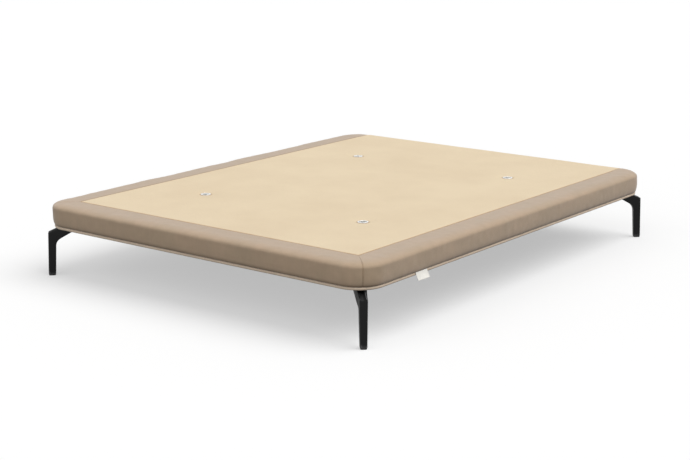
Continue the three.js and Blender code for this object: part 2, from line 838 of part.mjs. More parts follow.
function legGeometry() {
  const glideTop = glideHeight + fitGap;
  const bendIn = new THREE.Vector2(-bendInset, undersideHeight - bendDrop);
  const footInner = new THREE.Vector2(footOuterReach - postDepth, glideTop);
  const armEnd = new THREE.Vector2(-armEndInset, undersideHeight - armEndDrop);
  const beforeBend = bendIn.clone().add(footInner.clone().sub(bendIn).setLength(bendRun));
  const afterBend = bendIn.clone().add(armEnd.clone().sub(bendIn).setLength(bendRun));
  const side = new THREE.Shape();
  side.moveTo(footInner.x, footInner.y);
  side.lineTo(footOuterReach, glideTop);
  side.lineTo(postTopReach, postTopHeight);
  side.lineTo(-armTopInset, plateTop);
  side.lineTo(-armEndInset, plateTop);
  side.lineTo(armEnd.x, armEnd.y);
  side.lineTo(afterBend.x, afterBend.y);
  side.quadraticCurveTo(bendIn.x, bendIn.y, beforeBend.x, beforeBend.y);
  side.closePath();
  const arm = new THREE.ExtrudeGeometry(side, {
    depth: postWidthTop - 2 * legEdgeRadius,
    bevelEnabled: true,
    bevelThickness: legEdgeRadius,
    bevelSize: legEdgeRadius,
    bevelOffset: -legEdgeRadius,
    bevelSegments: legBevelSteps,
    curveSegments: quarterArcSteps / 2,
  });
  arm.translate(0, 0, -postWidthTop / 2 + legEdgeRadius);
  arm.rotateX(Math.PI / 2);
  const points = arm.getAttribute('position');
  for (let i = 0; i < points.count; i += 1) {
    const width = legWidth(points.getX(i), points.getZ(i));
    points.setY(i, (points.getY(i) * width) / postWidthTop);
  }

  // The scoop runs down the slanted top of the arm and out through the front of the post.
  const slope = Math.atan2(plateTop - postTopHeight, postTopReach + armTopInset);
  const scoopLength = Math.hypot(plateTop - postTopHeight, postTopReach + armTopInset);
  const scoop = new THREE.CylinderGeometry(scoopRadius, scoopRadius, 2 * scoopLength, 2 * roundSteps);
  scoop.rotateZ(Math.PI / 2);
  scoop.translate(0, 0, scoopRadius - scoopDepth);
  scoop.rotateY(slope);
  scoop.translate(postTopReach, 0, postTopHeight);
  const stemHole = uprightCylinder(
    glideStemRadius + fitGap, 0, glideTop + glideStemHeight, footOuterReach - postDepth / 2,
  );
  const plate = plateFromShape(plateShape(0), undersideHeight, plateTop, smallCornerSteps);
  const holes = screwPlaces.map(([reach, across]) => uprightCylinder(
    screwShaftRadius + fitGap,
    undersideHeight - cutOverrun,
    plateTop + cutOverrun,
    reach,
    across,
    smallRoundSteps,
  ));
  let solid = toSolid(arm).subtract(toSolid(scoop)).subtract(toSolid(stemHole)).add(toSolid(plate));
  for (const hole of holes) solid = solid.subtract(toSolid(hole));
  return toGeometry(solid);
}

function glideGeometry() {
  const middle = footOuterReach - postDepth / 2;
  const halfDepth = postDepth / 2 - glideMargin;
  const halfSide = postWidthFoot / 2 - glideMargin;
  const points = [[-1, -1], [1, -1], [1, 1], [-1, 1]].map(([x, y]) => (
    new THREE.Vector2(middle + x * halfDepth, y * halfSide)
  ));
  const pad = plateFromShape(roundedShape(points, glideCornerRadius), 0, glideHeight, smallCornerSteps);
  const stemTop = glideHeight + glideStemHeight;
  const stem = uprightCylinder(glideStemRadius, glideHeight - fitGap, stemTop, middle);
  return toGeometry(toSolid(pad).add(toSolid(stem)));
}

function screwGeometry() {
  const headTop = undersideHeight - fitGap;
  const headBottom = headTop - screwHeadHeight;
  const tip = headTop + screwLength;
  const rounding = screwHeadHeight / 2;
  const profile = [
    [0, headBottom + screwSocketDepth],
    [screwSocketRadius, headBottom + screwSocketDepth],
    [screwSocketRadius, headBottom],
    [screwHeadRadius - rounding, headBottom],
    [screwHeadRadius, headBottom + rounding],
    [screwHeadRadius, headTop],
    [screwShaftRadius, headTop],
    [screwShaftRadius, tip - screwShaftRadius],
    [0, tip],
  ].map(([radius, height]) => new THREE.Vector2(radius, height));
  const lathe = new THREE.LatheGeometry(profile, smallRoundSteps);
  lathe.rotateX(Math.PI / 2);
  return closedGeometry(lathe);
}

function addLegs() {
  const leg = legGeometry();
  const glide = glideGeometry();
  const screw = screwGeometry();
  for (const corner of baseCorners) {
    const group = new THREE.Group();
    const [x, y] = legOrigin(corner);
    group.position.set(x, y, 0);
    group.setRotationFromAxisAngle(up, corner.turn);
    part.add(group);
    addPiece(`leg_${corner.name}`, leg.clone(), 'legMetal', group);
    addPiece(`foot_glide_${corner.name}`, glide.clone(), 'glidePlastic', group);
    screwPlaces.forEach(([reach, side], i) => {
      const piece = addPiece(`leg_screw_${corner.name}_${i + 1}`, screw.clone(), 'screwSteel', group);
      piece.position.set(reach, side, 0);
    });
  }
}

function addDustCover() {
  const top = frameBottom - fitGap;
  const bottom = top - dustCoverThickness;
  const sheet = plateFromShape(insetShape(dustCoverInset), bottom, top);
  const openings = baseCorners.map((corner) => {
    const opening = plateFromShape(
      plateShape(fitGap), bottom - cutOverrun, top + cutOverrun, smallCornerSteps,
    );
    opening.rotateZ(corner.turn);
    const [x, y] = legOrigin(corner);
    opening.translate(x, y, 0);
    return opening;
  });
  addPiece('dust_cover', cutFrom(sheet, openings), 'dustCloth');
}

addFrame();
addDeck();
addFoam();
addCovers();
addTopPanel();
addPiping();
addDustCover();
addVents();
addLabel();
addLegs();

export default part;
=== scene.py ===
"""A low upholstered mattress base: a wooden frame with a boarded deck, a foam top, a sewn cover with
four air vents, and four cast corner legs. Lengths are in metres, Z is up and the floor is at zero.
X runs across the foot end and Y runs from the foot to the head."""

import json
import math

import bpy
import numpy as np
from bpy.props import FloatProperty, FloatVectorProperty, IntProperty, PointerProperty
from mathutils import Euler, Matrix, Vector, noise

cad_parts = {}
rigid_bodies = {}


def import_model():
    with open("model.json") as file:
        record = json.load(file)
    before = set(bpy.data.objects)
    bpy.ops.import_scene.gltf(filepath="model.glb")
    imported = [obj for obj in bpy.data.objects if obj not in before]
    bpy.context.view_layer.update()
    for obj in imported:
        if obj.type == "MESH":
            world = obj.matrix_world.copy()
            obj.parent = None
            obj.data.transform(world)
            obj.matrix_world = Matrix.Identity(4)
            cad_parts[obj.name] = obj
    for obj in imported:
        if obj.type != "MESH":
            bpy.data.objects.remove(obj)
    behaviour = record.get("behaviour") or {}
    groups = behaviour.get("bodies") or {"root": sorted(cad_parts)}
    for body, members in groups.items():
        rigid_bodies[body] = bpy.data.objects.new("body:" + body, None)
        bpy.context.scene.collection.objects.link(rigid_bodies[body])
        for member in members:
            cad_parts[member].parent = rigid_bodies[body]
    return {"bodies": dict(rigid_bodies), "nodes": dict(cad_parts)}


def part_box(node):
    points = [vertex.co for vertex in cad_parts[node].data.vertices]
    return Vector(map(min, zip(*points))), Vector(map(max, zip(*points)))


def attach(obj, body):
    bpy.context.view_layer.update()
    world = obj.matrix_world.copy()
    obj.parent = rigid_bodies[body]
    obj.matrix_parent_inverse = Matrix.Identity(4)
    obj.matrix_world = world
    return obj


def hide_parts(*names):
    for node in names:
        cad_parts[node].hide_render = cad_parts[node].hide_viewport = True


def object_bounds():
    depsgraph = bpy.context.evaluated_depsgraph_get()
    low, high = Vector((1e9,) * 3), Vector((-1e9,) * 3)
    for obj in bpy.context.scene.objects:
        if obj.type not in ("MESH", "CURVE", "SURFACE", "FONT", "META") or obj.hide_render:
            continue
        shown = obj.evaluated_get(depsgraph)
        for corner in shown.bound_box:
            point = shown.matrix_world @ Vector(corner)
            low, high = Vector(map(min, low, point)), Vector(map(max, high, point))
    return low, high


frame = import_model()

bl_info = {
    "name": "Mattress base",
    "version": (1, 0, 0),
    "blender": (4, 5, 0),
    "location": "View3D > Sidebar > Mattress base",
    "description": "Dresses a low upholstered mattress base and its studio stage",
    "category": "Object",
}

BODY = next(iter(frame["bodies"]))
CAD_LOW, CAD_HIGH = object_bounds()

CORNER_SIGNS = {
    "foot_right": (1, -1),
    "head_right": (1, 1),
    "head_left": (-1, 1),
    "foot_left": (-1, -1),
}
CORNER_TURNS = {
    "foot_right": -math.pi / 4,
    "head_right": math.pi / 4,
    "head_left": 3 * math.pi / 4,
    "foot_left": 5 * math.pi / 4,
}


def metres(name, text, default):
    return FloatProperty(
        name=name, description=text, default=default, min=0.0,
        unit="LENGTH", subtype="DISTANCE", precision=5,
    )


def fraction(name, text, default):
    return FloatProperty(name=name, description=text, default=default, min=0.0, max=1.0, subtype="FACTOR")


def degrees(name, text, turn):
    return FloatProperty(
        name=name, description=text, default=math.radians(turn), unit="ROTATION", subtype="ANGLE",
    )


def amount(name, text, default, least=0.0):
    return FloatProperty(name=name, description=text, default=default, min=least)


def camera_place(name, default):
    return FloatProperty(name=name, description="Camera place", default=default, unit="LENGTH")


def whole(name, text, default, least):
    return IntProperty(name=name, description=text, default=default, min=least)


def linear(red, green, blue):
    """A screen colour, from 0 to 255 each, as linear light with full opacity."""
    channels = []
    for value in (red, green, blue):
        part = value / 255
        channels.append(part / 12.92 if part <= 0.04045 else ((part + 0.055) / 1.055) ** 2.4)
    return (*channels, 1.0)


def screen_colour(name, text, red, green, blue):
    return FloatVectorProperty(
        name=name, description=text, default=linear(red, green, blue), size=4,
        min=0.0, max=1.0, subtype="COLOR",
    )


class CoverSizes(bpy.types.PropertyGroup):
    """Sizes of the sewn cover: its border bands, top panel and seams."""

    width: metres("Width", "Width over the cover", round(CAD_HIGH.x - CAD_LOW.x, 5))
    length: metres("Length", "Length over the cover", round(CAD_HIGH.y - CAD_LOW.y, 5))
    height: metres("Height", "Floor to the top of the cover", round(CAD_HIGH.z, 5))
    underside: metres("Underside", "Floor to the underside", round(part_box("piping")[0].z, 5))
    thickness: metres("Cloth thickness", "Thickness of the padded cloth", 0.0025)
    border: metres("Border width", "Outer face to the panel seam", 0.102)
    inner_radius: metres("Inner corner radius", "Corner radius of the panel seam", 0.002)
    flat: metres("Flat width", "Flat part of the border beside the seam", 0.052)
    edge_drop: metres("Edge drop", "Height of the rounded top edge", 0.021)
    edge_exponent: amount("Edge exponent", "How square the rounded top edge is", 2.6, 1.0)
    tuck_depth: metres("Tuck depth", "How far the lower edge turns in", 0.007)
    tuck_height: metres("Tuck height", "Height over which the lower edge turns in", 0.036)
    flange: metres("Flange inset", "How far the cloth reaches in over the piping", 0.0187)
    head_seam_share: fraction("Head seam", "Where on the rounded edge the head seam lies", 0.7)
    gap: metres("Seam gap", "Space between pieces that meet", 0.0003)
    seam_dip: metres("Seam dip", "How deep the cloth is drawn in at a seam", 0.0012)
    seam_run: metres("Seam run", "Width over which the cloth turns down to a seam", 0.008)
    mitre_dip: metres("Mitre dip", "How deep the corner seams lie", 0.0013)
    mitre_run: metres("Mitre run", "Width of the hollow along a corner seam", 0.006)
    wave: metres("Wave", "Height of the soft waves along the rounded edge", 0.0013)
    wave_length: metres("Wave length", "Distance between those waves", 0.11)
    ripple: metres("Ripple", "Height of the small ripples in the cloth", 0.00035)
    ripple_length: metres("Ripple length", "Distance between the small ripples", 0.026)
    pucker: metres("Pucker", "Depth of the puckers that the stitches draw", 0.00022)
    pucker_pitch: metres("Pucker pitch", "Distance between the puckers", 0.0135)


class PipingSizes(bpy.types.PropertyGroup):
    """Sizes of the piping round the lower edge."""

    radius: metres("Radius", "Radius of the cord in the piping", 0.0055)
    inset: metres("Inset", "Outer face of the cover to the front of the piping", 0.005)
    tape: metres("Tape thickness", "Thickness of the tape behind the cord", 0.0012)
    reach: metres("Tape reach", "How far in the tape reaches", 0.030)
    tape_top: metres("Tape top", "Height of the top of the tape above the underside", 0.005)
    flutter: metres("Flutter", "Unevenness of the cord", 0.00025)


class VentSizes(bpy.types.PropertyGroup):
    """Sizes of the air vents and the hollows round them."""

    spacing_x: metres("Spacing across", "Vent to vent across the base", 0.747)
    spacing_y: metres("Spacing along", "Vent to vent along the base", 0.954)
    shift_y: metres("Shift", "How far the four vents lie towards the head", 0.015)
    rim: metres("Rim radius", "Outer radius of the metal rim", 0.020)
    rim_thickness: metres("Rim thickness", "Height of the rim over the cloth", 0.0016)
    bore: metres("Bore radius", "Radius of the opening", 0.0135)
    collar_wall: metres("Collar wall", "Wall of the collar under the rim", 0.0012)
    collar: metres("Collar length", "Length of the collar under the rim", 0.009)
    lip: metres("Lip width", "Width of the lip that holds the gauze", 0.0012)
    lip_thickness: metres("Lip thickness", "Thickness of that lip", 0.001)
    dimple: metres("Hollow radius", "Radius of the hollow round a vent", 0.058)
    depth: metres("Hollow depth", "How far a vent lies below the top", 0.004)
    seat: metres("Seat radius", "Radius of the flat seat under the rim", 0.0215)
    steepness: amount("Steepness", "How sharply the hollow drops near the rim", 2.2, 1.0)
    crease: metres("Crease", "Height of the creases that run from a vent", 0.0009)
    crease_reach: metres("Crease reach", "How far the creases run", 0.034)
    wire: metres("Wire radius", "Radius of a gauze wire", 0.00022)
    wire_pitch: metres("Wire pitch", "Distance between gauze wires", 0.0013)


class StitchSizes(bpy.types.PropertyGroup):
    """Sizes of the seam stitches."""

    pitch: metres("Pitch", "Distance from stitch to stitch", 0.0042)
    length: metres("Length", "Length of a stitch", 0.0030)
    thread: metres("Thread radius", "Radius of the thread", 0.00032)
    lean: degrees("Lean", "How far a stitch leans from the seam", 24)
    depth: metres("Depth", "How far the thread lies below the cloth's edge", 0.0001)


class LabelSizes(bpy.types.PropertyGroup):
    """Sizes of the bare cloth label."""

    width: metres("Width", "Width of the label", 0.065)
    drop: metres("Drop", "Middle of the piping to the label's lower edge", 0.0215)
    thickness: metres("Thickness", "Thickness of the folded label", 0.0008)
    from_foot: metres("From foot", "Foot end to the middle of the label", 0.314)
    lean: metres("Lean", "How far the lower edge leans towards the head", 0.003)
    skew: metres("Skew", "How far the lower corners are drawn apart", 0.0012)
    curl: metres("Curl", "How far the lower edge stands out", 0.011)


class UndersideSizes(bpy.types.PropertyGroup):
    """Sizes of the dust cover, its staples and the leg screws."""

    dust_inset: metres("Dust cover inset", "Outer face to the dust cover's edge", 0.031)
    dust_thickness: metres("Dust cover thickness", "Thickness of the dust cover", 0.001)
    sag: metres("Sag", "How far the dust cover hangs between its edges", 0.0022)
    staple_inset: metres("Staple inset", "Outer face to the row of staples", 0.038)
    staple_pitch: metres("Staple pitch", "Distance from staple to staple", 0.062)
    staple_width: metres("Staple width", "Width of a staple's crown", 0.0115)
    staple_wire: metres("Staple wire", "Thickness of a staple's wire", 0.0008)
    staple_lean: degrees("Staple lean", "How far a staple leans from the edge", 24)
    staple_margin: metres("Staple margin", "Corner to the first staple", 0.175)
    head_radius: metres("Screw head radius", "Radius of a leg screw's head", 0.005)
    head_height: metres("Screw head height", "Height of a leg screw's head", 0.0024)
    socket_radius: metres("Socket radius", "Radius of the hexagonal socket", 0.0018)
    socket_depth: metres("Socket depth", "Depth of the hexagonal socket", 0.0014)
    screw_length: metres("Screw length", "Length of a leg screw's shaft", 0.032)
    screw_radius: metres("Screw radius", "Radius of a leg screw's shaft", 0.002)


class LegSizes(bpy.types.PropertyGroup):
    """Sizes of the corner legs, drawn along the diagonal from the cover's rounded corner."""

    foot_reach: metres("Foot reach", "How far out the foot stands", 0.025)
    post_reach: metres("Post reach", "How far out the top of the post stands", 0.020)
    post_drop: metres("Post drop", "Underside to the top of the post", 0.020)
    post_depth: metres("Post depth", "Depth of the post along the diagonal", 0.027)
    foot_width: metres("Foot width", "Width of the post at the floor", 0.024)
    post_width: metres("Post width", "Width of the post at its top", 0.028)
    arm_width: metres("Arm width", "Width of the arm at its end", 0.048)
    arm_inset: metres("Arm inset", "Where the slanted top meets the plate", 0.040)
    arm_end: metres("Arm end", "How far in the arm reaches", 0.088)
    arm_drop: metres("Arm drop", "Underside to the lower edge of the arm's end", 0.0085)
    bend_inset: metres("Bend inset", "How far in the inner bend lies", 0.008)
    bend_drop: metres("Bend drop", "Underside to the inner bend", 0.054)
    bend_run: metres("Bend run", "Length of the curve on each side of the bend", 0.022)
    shoulder_run: metres("Shoulder run", "Length of the curve at the outer corners", 0.0035)
    edge_radius: metres("Edge radius", "Rounding of the long edges", 0.006)
    scoop_radius: metres("Scoop radius", "Radius of the hollow in the slanted top", 0.013)
    scoop_depth: metres("Scoop depth", "Depth of that hollow", 0.006)
    plate: metres("Plate thickness", "Thickness of the mounting plate", 0.005)
    plate_front: metres("Plate front", "How far in the plate starts", 0.038)
    plate_shoulder: metres("Plate shoulder", "How far in the plate is widest", 0.072)
    plate_back: metres("Plate back", "How far in the plate ends", 0.132)
    plate_front_half: metres("Plate front half width", "Half the width at its front", 0.025)
    plate_half: metres("Plate half width", "Half the width at its shoulders", 0.050)
    plate_back_half: metres("Plate back half width", "Half the width at its back", 0.022)
    plate_corner: metres("Plate corner", "Rounding of the plate's corners", 0.008)
    side_screw_inset: metres("Side screw inset", "How far in the side screws sit", 0.066)
    side_screw_spread: metres("Side screw spread", "Middle to a side screw", 0.037)
    rear_screw_inset: metres("Rear screw inset", "How far in the rear screw sits", 0.119)
    fine_edge: metres("Fine edge", "Rounding of the cast edges", 0.0012)
    glide: metres("Tip height", "Height of the tip under the post", 0.006)
    glide_margin: metres("Tip margin", "How far the tip stands back from the post", 0.001)
    glide_corner: metres("Tip corner", "Rounding of the tip's corners", 0.006)


class FoamSizes(bpy.types.PropertyGroup):
    """Sizes of the foam under the cover."""

    thickness: metres("Thickness", "Thickness of the foam top", 0.0293)
    well: metres("Well radius", "Radius of the opening under a vent", 0.0198)


class Finishes(bpy.types.PropertyGroup):
    """Colours of the finishes, and the tones of painted shade and painted highlight."""

    border_warm: screen_colour("Border, warm", "Warm tone of the border cloth", 187, 163, 138)
    border_cool: screen_colour("Border, cool", "Cool tone of the border cloth", 183, 161, 136)
    panel: screen_colour("Panel", "Colour of the top panel", 236, 217, 185)
    panel_deep: screen_colour("Panel, deep", "Deeper tone of the top panel", 231, 211, 179)
    # Painted shade: the next three are the darker tones that the cloth is painted towards in the seams, the
    # corner seams and the groove over the piping, where shade falls in those hollows.
    seam: screen_colour("Seam", "Tone inside the seams", 168, 126, 84)
    corner_seam_shade: screen_colour("Corner seam", "Tone inside the corner seams", 150, 118, 86)
    groove: screen_colour("Groove", "Tone inside the groove over the piping", 98, 77, 58)
    piping: screen_colour("Piping", "Colour of the piping", 223, 203, 181)
    thread: screen_colour("Thread", "Colour of the seam thread", 178, 134, 88)
    label: screen_colour("Label", "Colour of the bare label", 253, 250, 242)
    dust: screen_colour("Dust cover", "Colour of the dust cover", 62, 62, 65)
    foam: screen_colour("Foam", "Colour of the foam", 240, 230, 198)
    leg: screen_colour("Leg", "Colour of the cast legs", 10, 10, 11)
    # Painted highlight: a lighter tone on the legs' sharp edges, standing in for the light that those edges
    # catch.
    leg_edge_highlight: screen_colour("Leg rims", "Tone of the legs' worn edges", 96, 96, 98)
    vent: screen_colour("Vent", "Colour of the vents' metal", 240, 240, 238)
    gauze: screen_colour("Gauze", "Colour of the vents' gauze", 150, 150, 148)
    steel: screen_colour("Steel", "Colour of the screws and staples", 178, 179, 182)
    nylon: screen_colour("Nylon", "Colour of the tips", 22, 22, 22)
    pine: screen_colour("Pine", "Colour of the frame's wood", 214, 178, 128)
    pine_dark: screen_colour("Pine, dark", "Colour of the dark grain", 172, 128, 82)
    board: screen_colour("Board", "Colour of the deck boards", 202, 166, 118)
    board_dark: screen_colour("Board, dark", "Dark tone of the deck boards", 166, 128, 86)


class StageLook(bpy.types.PropertyGroup):
    """The studio: camera place, lamps and floor."""

    lens: FloatProperty(name="Lens", description="Focal length", default=79.47, min=1.0, unit="CAMERA")
    camera_x: camera_place("Camera X", 3.4997)
    camera_y: camera_place("Camera Y", -4.5972)
    camera_z: camera_place("Camera Z", 1.5083)
    yaw: degrees("Yaw", "Camera turn from looking along Y, to the left", 37.785)
    pitch: degrees("Pitch", "Camera tilt down", 13.700)
    roll: degrees("Roll", "Camera turn about its own line of sight", -0.11)
    key_strength: amount("Key", "Strength of the soft key lamp", 2.04)
    key_size: degrees("Key size", "Apparent size of the key lamp", 56)
    key_tilt: degrees("Key tilt", "How far the key lamp leans from straight above", 33)
    key_turn: degrees("Key turn", "Where round the base the key lamp stands", 25)
    fill_strength: amount("Fill", "Strength of the soft fill lamp", 0.92)
    fill_size: degrees("Fill size", "Apparent size of the fill lamp", 80)
    fill_tilt: degrees("Fill tilt", "How far the fill lamp leans from straight above", 66)
    fill_turn: degrees("Fill turn", "Where round the base the fill lamp stands", -95)
    sky: amount("Sky", "Strength of the even light all round", 0.34)
    floor_size: metres("Floor size", "Side of the floor", 120.0)
    floor_bounce_share: fraction("Floor bounce", "How much light the floor gives back", 0.16)
    floor_glow_share: fraction("Floor glow", "Share of plain white in the seen floor", 0.47)


class DetailCounts(bpy.types.PropertyGroup):
    """How finely the pieces are meshed."""

    spacing: metres("Spacing", "Distance between points along the cloth", 0.007)
    arc_steps: whole("Corner steps", "Steps in a corner's quarter turn", 24, 4)
    edge_steps: whole("Edge steps", "Steps over the rounded edge", 30, 4)
    round_steps: whole("Round steps", "Steps round small rounds", 64, 8)
    seed: whole("Seed", "Seed of all that is uneven", 7, 0)


GROUPS = {
    "base_cover": CoverSizes,
    "base_piping": PipingSizes,
    "base_vents": VentSizes,
    "base_stitches": StitchSizes,
    "base_label": LabelSizes,
    "base_underside": UndersideSizes,
    "base_legs": LegSizes,
    "base_foam": FoamSizes,
    "base_finishes": Finishes,
    "base_stage": StageLook,
    "base_detail": DetailCounts,
}


# Meshes

def link_object(name, data):
    """A new object in the scene, at the origin."""
    obj = bpy.data.objects.new(name, data)
    bpy.context.scene.collection.objects.link(obj)
    return obj


def build_object(name, points, faces, uvs=None, shades=None, smooth=True):
    """A new object of closed faces. uvs holds one pair for each corner of each face, in metres."""
    mesh = bpy.data.meshes.new(name)
    mesh.from_pydata(np.asarray(points).tolist(), [], faces)
    if uvs is not None:
        layer = mesh.uv_layers.new(name="cloth")
        layer.data.foreach_set("uv", np.asarray(uvs, dtype=np.float32).ravel())
    if shades is not None:
        attribute = mesh.attributes.new("seam_shade", "FLOAT", "POINT")
        attribute.data.foreach_set("value", np.asarray(shades, dtype=np.float32))
    mesh.polygons.foreach_set("use_smooth", [smooth] * len(mesh.polygons))
    mesh.update()
    if signed_volume(mesh) < 0:
        mesh.flip_normals()
    return link_object(name, mesh)


def signed_volume(mesh):
    mesh.calc_loop_triangles()
    points = np.empty(len(mesh.vertices) * 3)
    mesh.vertices.foreach_get("co", points)
    corners = np.empty(len(mesh.loop_triangles) * 3, dtype=np.int64)
    mesh.loop_triangles.foreach_get("vertices", corners)
    a, b, c = points.reshape(-1, 3)[corners.reshape(-1, 3)].transpose(1, 0, 2)
    return float((a * np.cross(b, c)).sum() / 6)


def evaluated_copy(name, source):
    """A plain mesh object of what the source's modifiers make. The source is removed."""
    graph = bpy.context.evaluated_depsgraph_get()
    mesh = bpy.data.meshes.new_from_object(source.evaluated_get(graph), depsgraph=graph)
    mesh.name = name
    remove_object(source)
    return link_object(name, mesh)


def remove_object(obj):
    data = obj.data
    bpy.data.objects.remove(obj)
    if isinstance(data, bpy.types.Mesh) and data.users == 0:
        bpy.data.meshes.remove(data)


def dress(obj, material, slot, *nodes):
    """Gives a finished piece its finish and its body, and hides the CAD nodes that it stands for."""
    obj.data.materials.clear()
    obj.data.materials.append(material)
    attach(obj, BODY)
    if nodes:
        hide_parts(*nodes)
    return obj


def smooth_all(obj, angle=None):
    """Smooth shading, with edges sharper than an angle kept sharp."""
    obj.data.polygons.foreach_set("use_smooth", [True] * len(obj.data.polygons))
    if angle is not None:
        obj.data.set_sharp_from_angle(angle=math.radians(angle))
    obj.data.update()


def ring_faces(count, width, closed=False):
    """Quads between rings of points that follow each other. An open row gets a face at each end."""
    faces = []
    for i in range(count if closed else count - 1):
        first, after = i * width, (i + 1) % count * width
        for j in range(width):
            beside = (j + 1) % width
            faces.append((first + j, first + beside, after + beside, after + j))
    if not closed:
        faces.append(tuple(range(width))[::-1])
        faces.append(tuple(range((count - 1) * width, count * width)))
    return faces


def arc_points(centre, radius, start, end, steps):
    angles = np.radians(np.linspace(start, end, steps + 1))
    return [(centre[0] + radius * math.cos(a), centre[1] + radius * math.sin(a)) for a in angles]


def bumps(points, height, distance, seed):
    """An even, wandering offset for each point, at most about the height."""
    shift = Vector((seed * math.pi, seed * math.e, seed))
    return np.array([noise.noise(Vector(point) / distance + shift) for point in points]) * height * 2


def fade(distance, run):
    """One at no distance, falling evenly to zero over the run."""
    return np.clip(1 - distance / run, 0, 1)


# The way round the base

# A stretch longer than this is divided, even where the outward direction differs at its ends
LONG_RUN = 0.1


def corner_station(cover, corner, share):
    """The point on the outer face and the outward direction, at a share of a corner's quarter turn."""
    sign_x, sign_y = CORNER_SIGNS[corner]
    radius = cover.border + cover.inner_radius
    angle = CORNER_TURNS[corner] + (share - 0.5) * math.pi / 2
    normal = (math.cos(angle), math.sin(angle))
    centre_x = sign_x * (cover.width / 2 - radius)
    centre_y = sign_y * (cover.length / 2 - radius)
    return (centre_x + radius * normal[0], centre_y + radius * normal[1], *normal)


def way_round(cover, detail, turns=None):
    """Stations along the outer face through corners, given as (corner, first share, last share), or
    once all round. Returns places, outward directions and the distance gone at each station."""
    stations = []
    for corner, first, last in turns or [(corner, 0, 1) for corner in CORNER_SIGNS]:
        steps = max(1, round(abs(last - first) * detail.arc_steps))
        for i in range(steps + 1):
            stations.append(corner_station(cover, corner, first + (last - first) * i / steps))
    filled = [stations[0]]
    for before, after in zip(stations, stations[1:]):
        run = math.dist(before[:2], after[:2])
        if run < detail.spacing / 10:
            continue
        straight_run = before[2:] == after[2:] or run > LONG_RUN
        parts = max(1, round(run / detail.spacing)) if straight_run else 1
        for i in range(1, parts + 1):
            share = i / parts
            filled.append(tuple(a + (b - a) * share for a, b in zip(before, after)))
    table = np.array(filled)
    places, normals = table[:, :2], table[:, 2:]
    normals = normals / np.linalg.norm(normals, axis=1, keepdims=True)
    steps = np.linalg.norm(np.diff(places, axis=0), axis=1)
    return places, normals, np.concatenate([[0], np.cumsum(steps)])


def sweep(name, way, insets, heights, closed=False, shades=None):
    """Carries a closed section along the way. insets and heights hold one row for each station."""
    places, normals, gone = way
    count, width = insets.shape
    flat = places[:, None, :] - insets[:, :, None] * normals[:, None, :]
    points = np.concatenate([flat, heights[:, :, None]], axis=2).reshape(-1, 3)
    rows = count if closed else count - 1
    i, j = np.meshgrid(np.arange(rows), np.arange(width), indexing="ij")
    after, beside = (i + 1) % count, (j + 1) % width
    corners = [(i, j), (i, beside), (after, beside), (after, j)]
    faces = np.stack([a * width + b for a, b in corners], axis=2).reshape(-1, 4)
    middle = count // 2
    edge = np.hypot(
        np.diff(insets[middle], append=insets[middle][:1]),
        np.diff(heights[middle], append=heights[middle][:1]),
    )
    across = np.concatenate([[0], np.cumsum(edge)])
    along = np.append(gone, gone[-1] + np.linalg.norm(places[-1] - places[0]))
    uvs = np.stack([
        np.stack([along[i], across[j]], axis=2),
        np.stack([along[i], across[j + 1]], axis=2),
        np.stack([along[i + 1], across[j + 1]], axis=2),
        np.stack([along[i + 1], across[j]], axis=2),
    ], axis=2).reshape(-1, 2)
    faces = faces.tolist()
    if not closed:
        faces.append(list(range(width)))
        faces.append(list(range((count - 1) * width, count * width))[::-1])
        ends = np.stack([insets[0], heights[0]], axis=1)
        uvs = np.concatenate([uvs, ends, ends[::-1]])
    return build_object(name, points, faces, uvs, None if shades is None else shades.reshape(-1))


def line_normals(insets, heights):
    """Outward directions of a profile that runs from the top of the cover down its side."""
    run_inset, run_height = np.gradient(insets), np.gradient(heights)
    size = np.hypot(run_inset, run_height)
    return run_height / size, -run_inset / size


# Cover

# Where points lie beside a seam, as shares of the run over which the cloth turns down to it
DIP_SHARES = np.array([0, 0.08, 0.2, 0.35, 0.55, 0.8])
STATION_SHARES = np.array([0.15, 0.35, 0.6, 0.85, 1.1])
# Steps down the side and over the flat, round the tuck, and on the back of the cloth
SIDE_STEPS = 3
TUCK_STEPS = 12
BACK_STEPS = 13
# How much of the unevenness is left at the panel seam
SEAM_LIFT_SHARE = 0.3
# The painted seam shades: how far each reaches, as a share of its run, and how strong it is
GROOVE_REACH_SHARE = 0.42
SEAM_REACH_SHARE = 0.7
SEAM_SHADE_SHARE = 0.8
MITRE_REACH_SHARE = 0.22
MITRE_SHADE_SHARE = 0.7


def edge_curve(cover, shares):
    """The rounded top edge: a share of 0 is its start on the flat top and 1 its end on the side."""
    angle = shares * math.pi / 2
    power = 2 / cover.edge_exponent
    run = cover.border - cover.flat
    return (
        run * (1 - np.sin(angle) ** power),
        cover.height - cover.edge_drop * (1 - np.cos(angle) ** power),
    )


def groove_height(cover, piping):
    return cover.underside + 2 * piping.radius + cover.gap


def set_back(radius):
    """How far the middle of a quarter turn lies back from the corner that it rounds, on each side."""
    return radius * (1 - math.sqrt(0.5))


def side_profile(cover, piping, detail, from_share):
    """The outer face from a share of the rounded edge to the groove over the piping."""
    insets, heights = edge_curve(cover, np.linspace(from_share, 1, detail.edge_steps + 1))
    groove = groove_height(cover, piping)
    side = np.linspace(heights[-1], groove + cover.tuck_height, SIDE_STEPS + 1)[1:]
    angle = np.linspace(0, math.pi / 2, TUCK_STEPS + 1)[1:]
    return (
        np.concatenate([insets, np.zeros(SIDE_STEPS), cover.tuck_depth * (1 - np.cos(angle))]),
        np.concatenate([heights, side, groove + cover.tuck_height * (1 - np.sin(angle))]),
    )


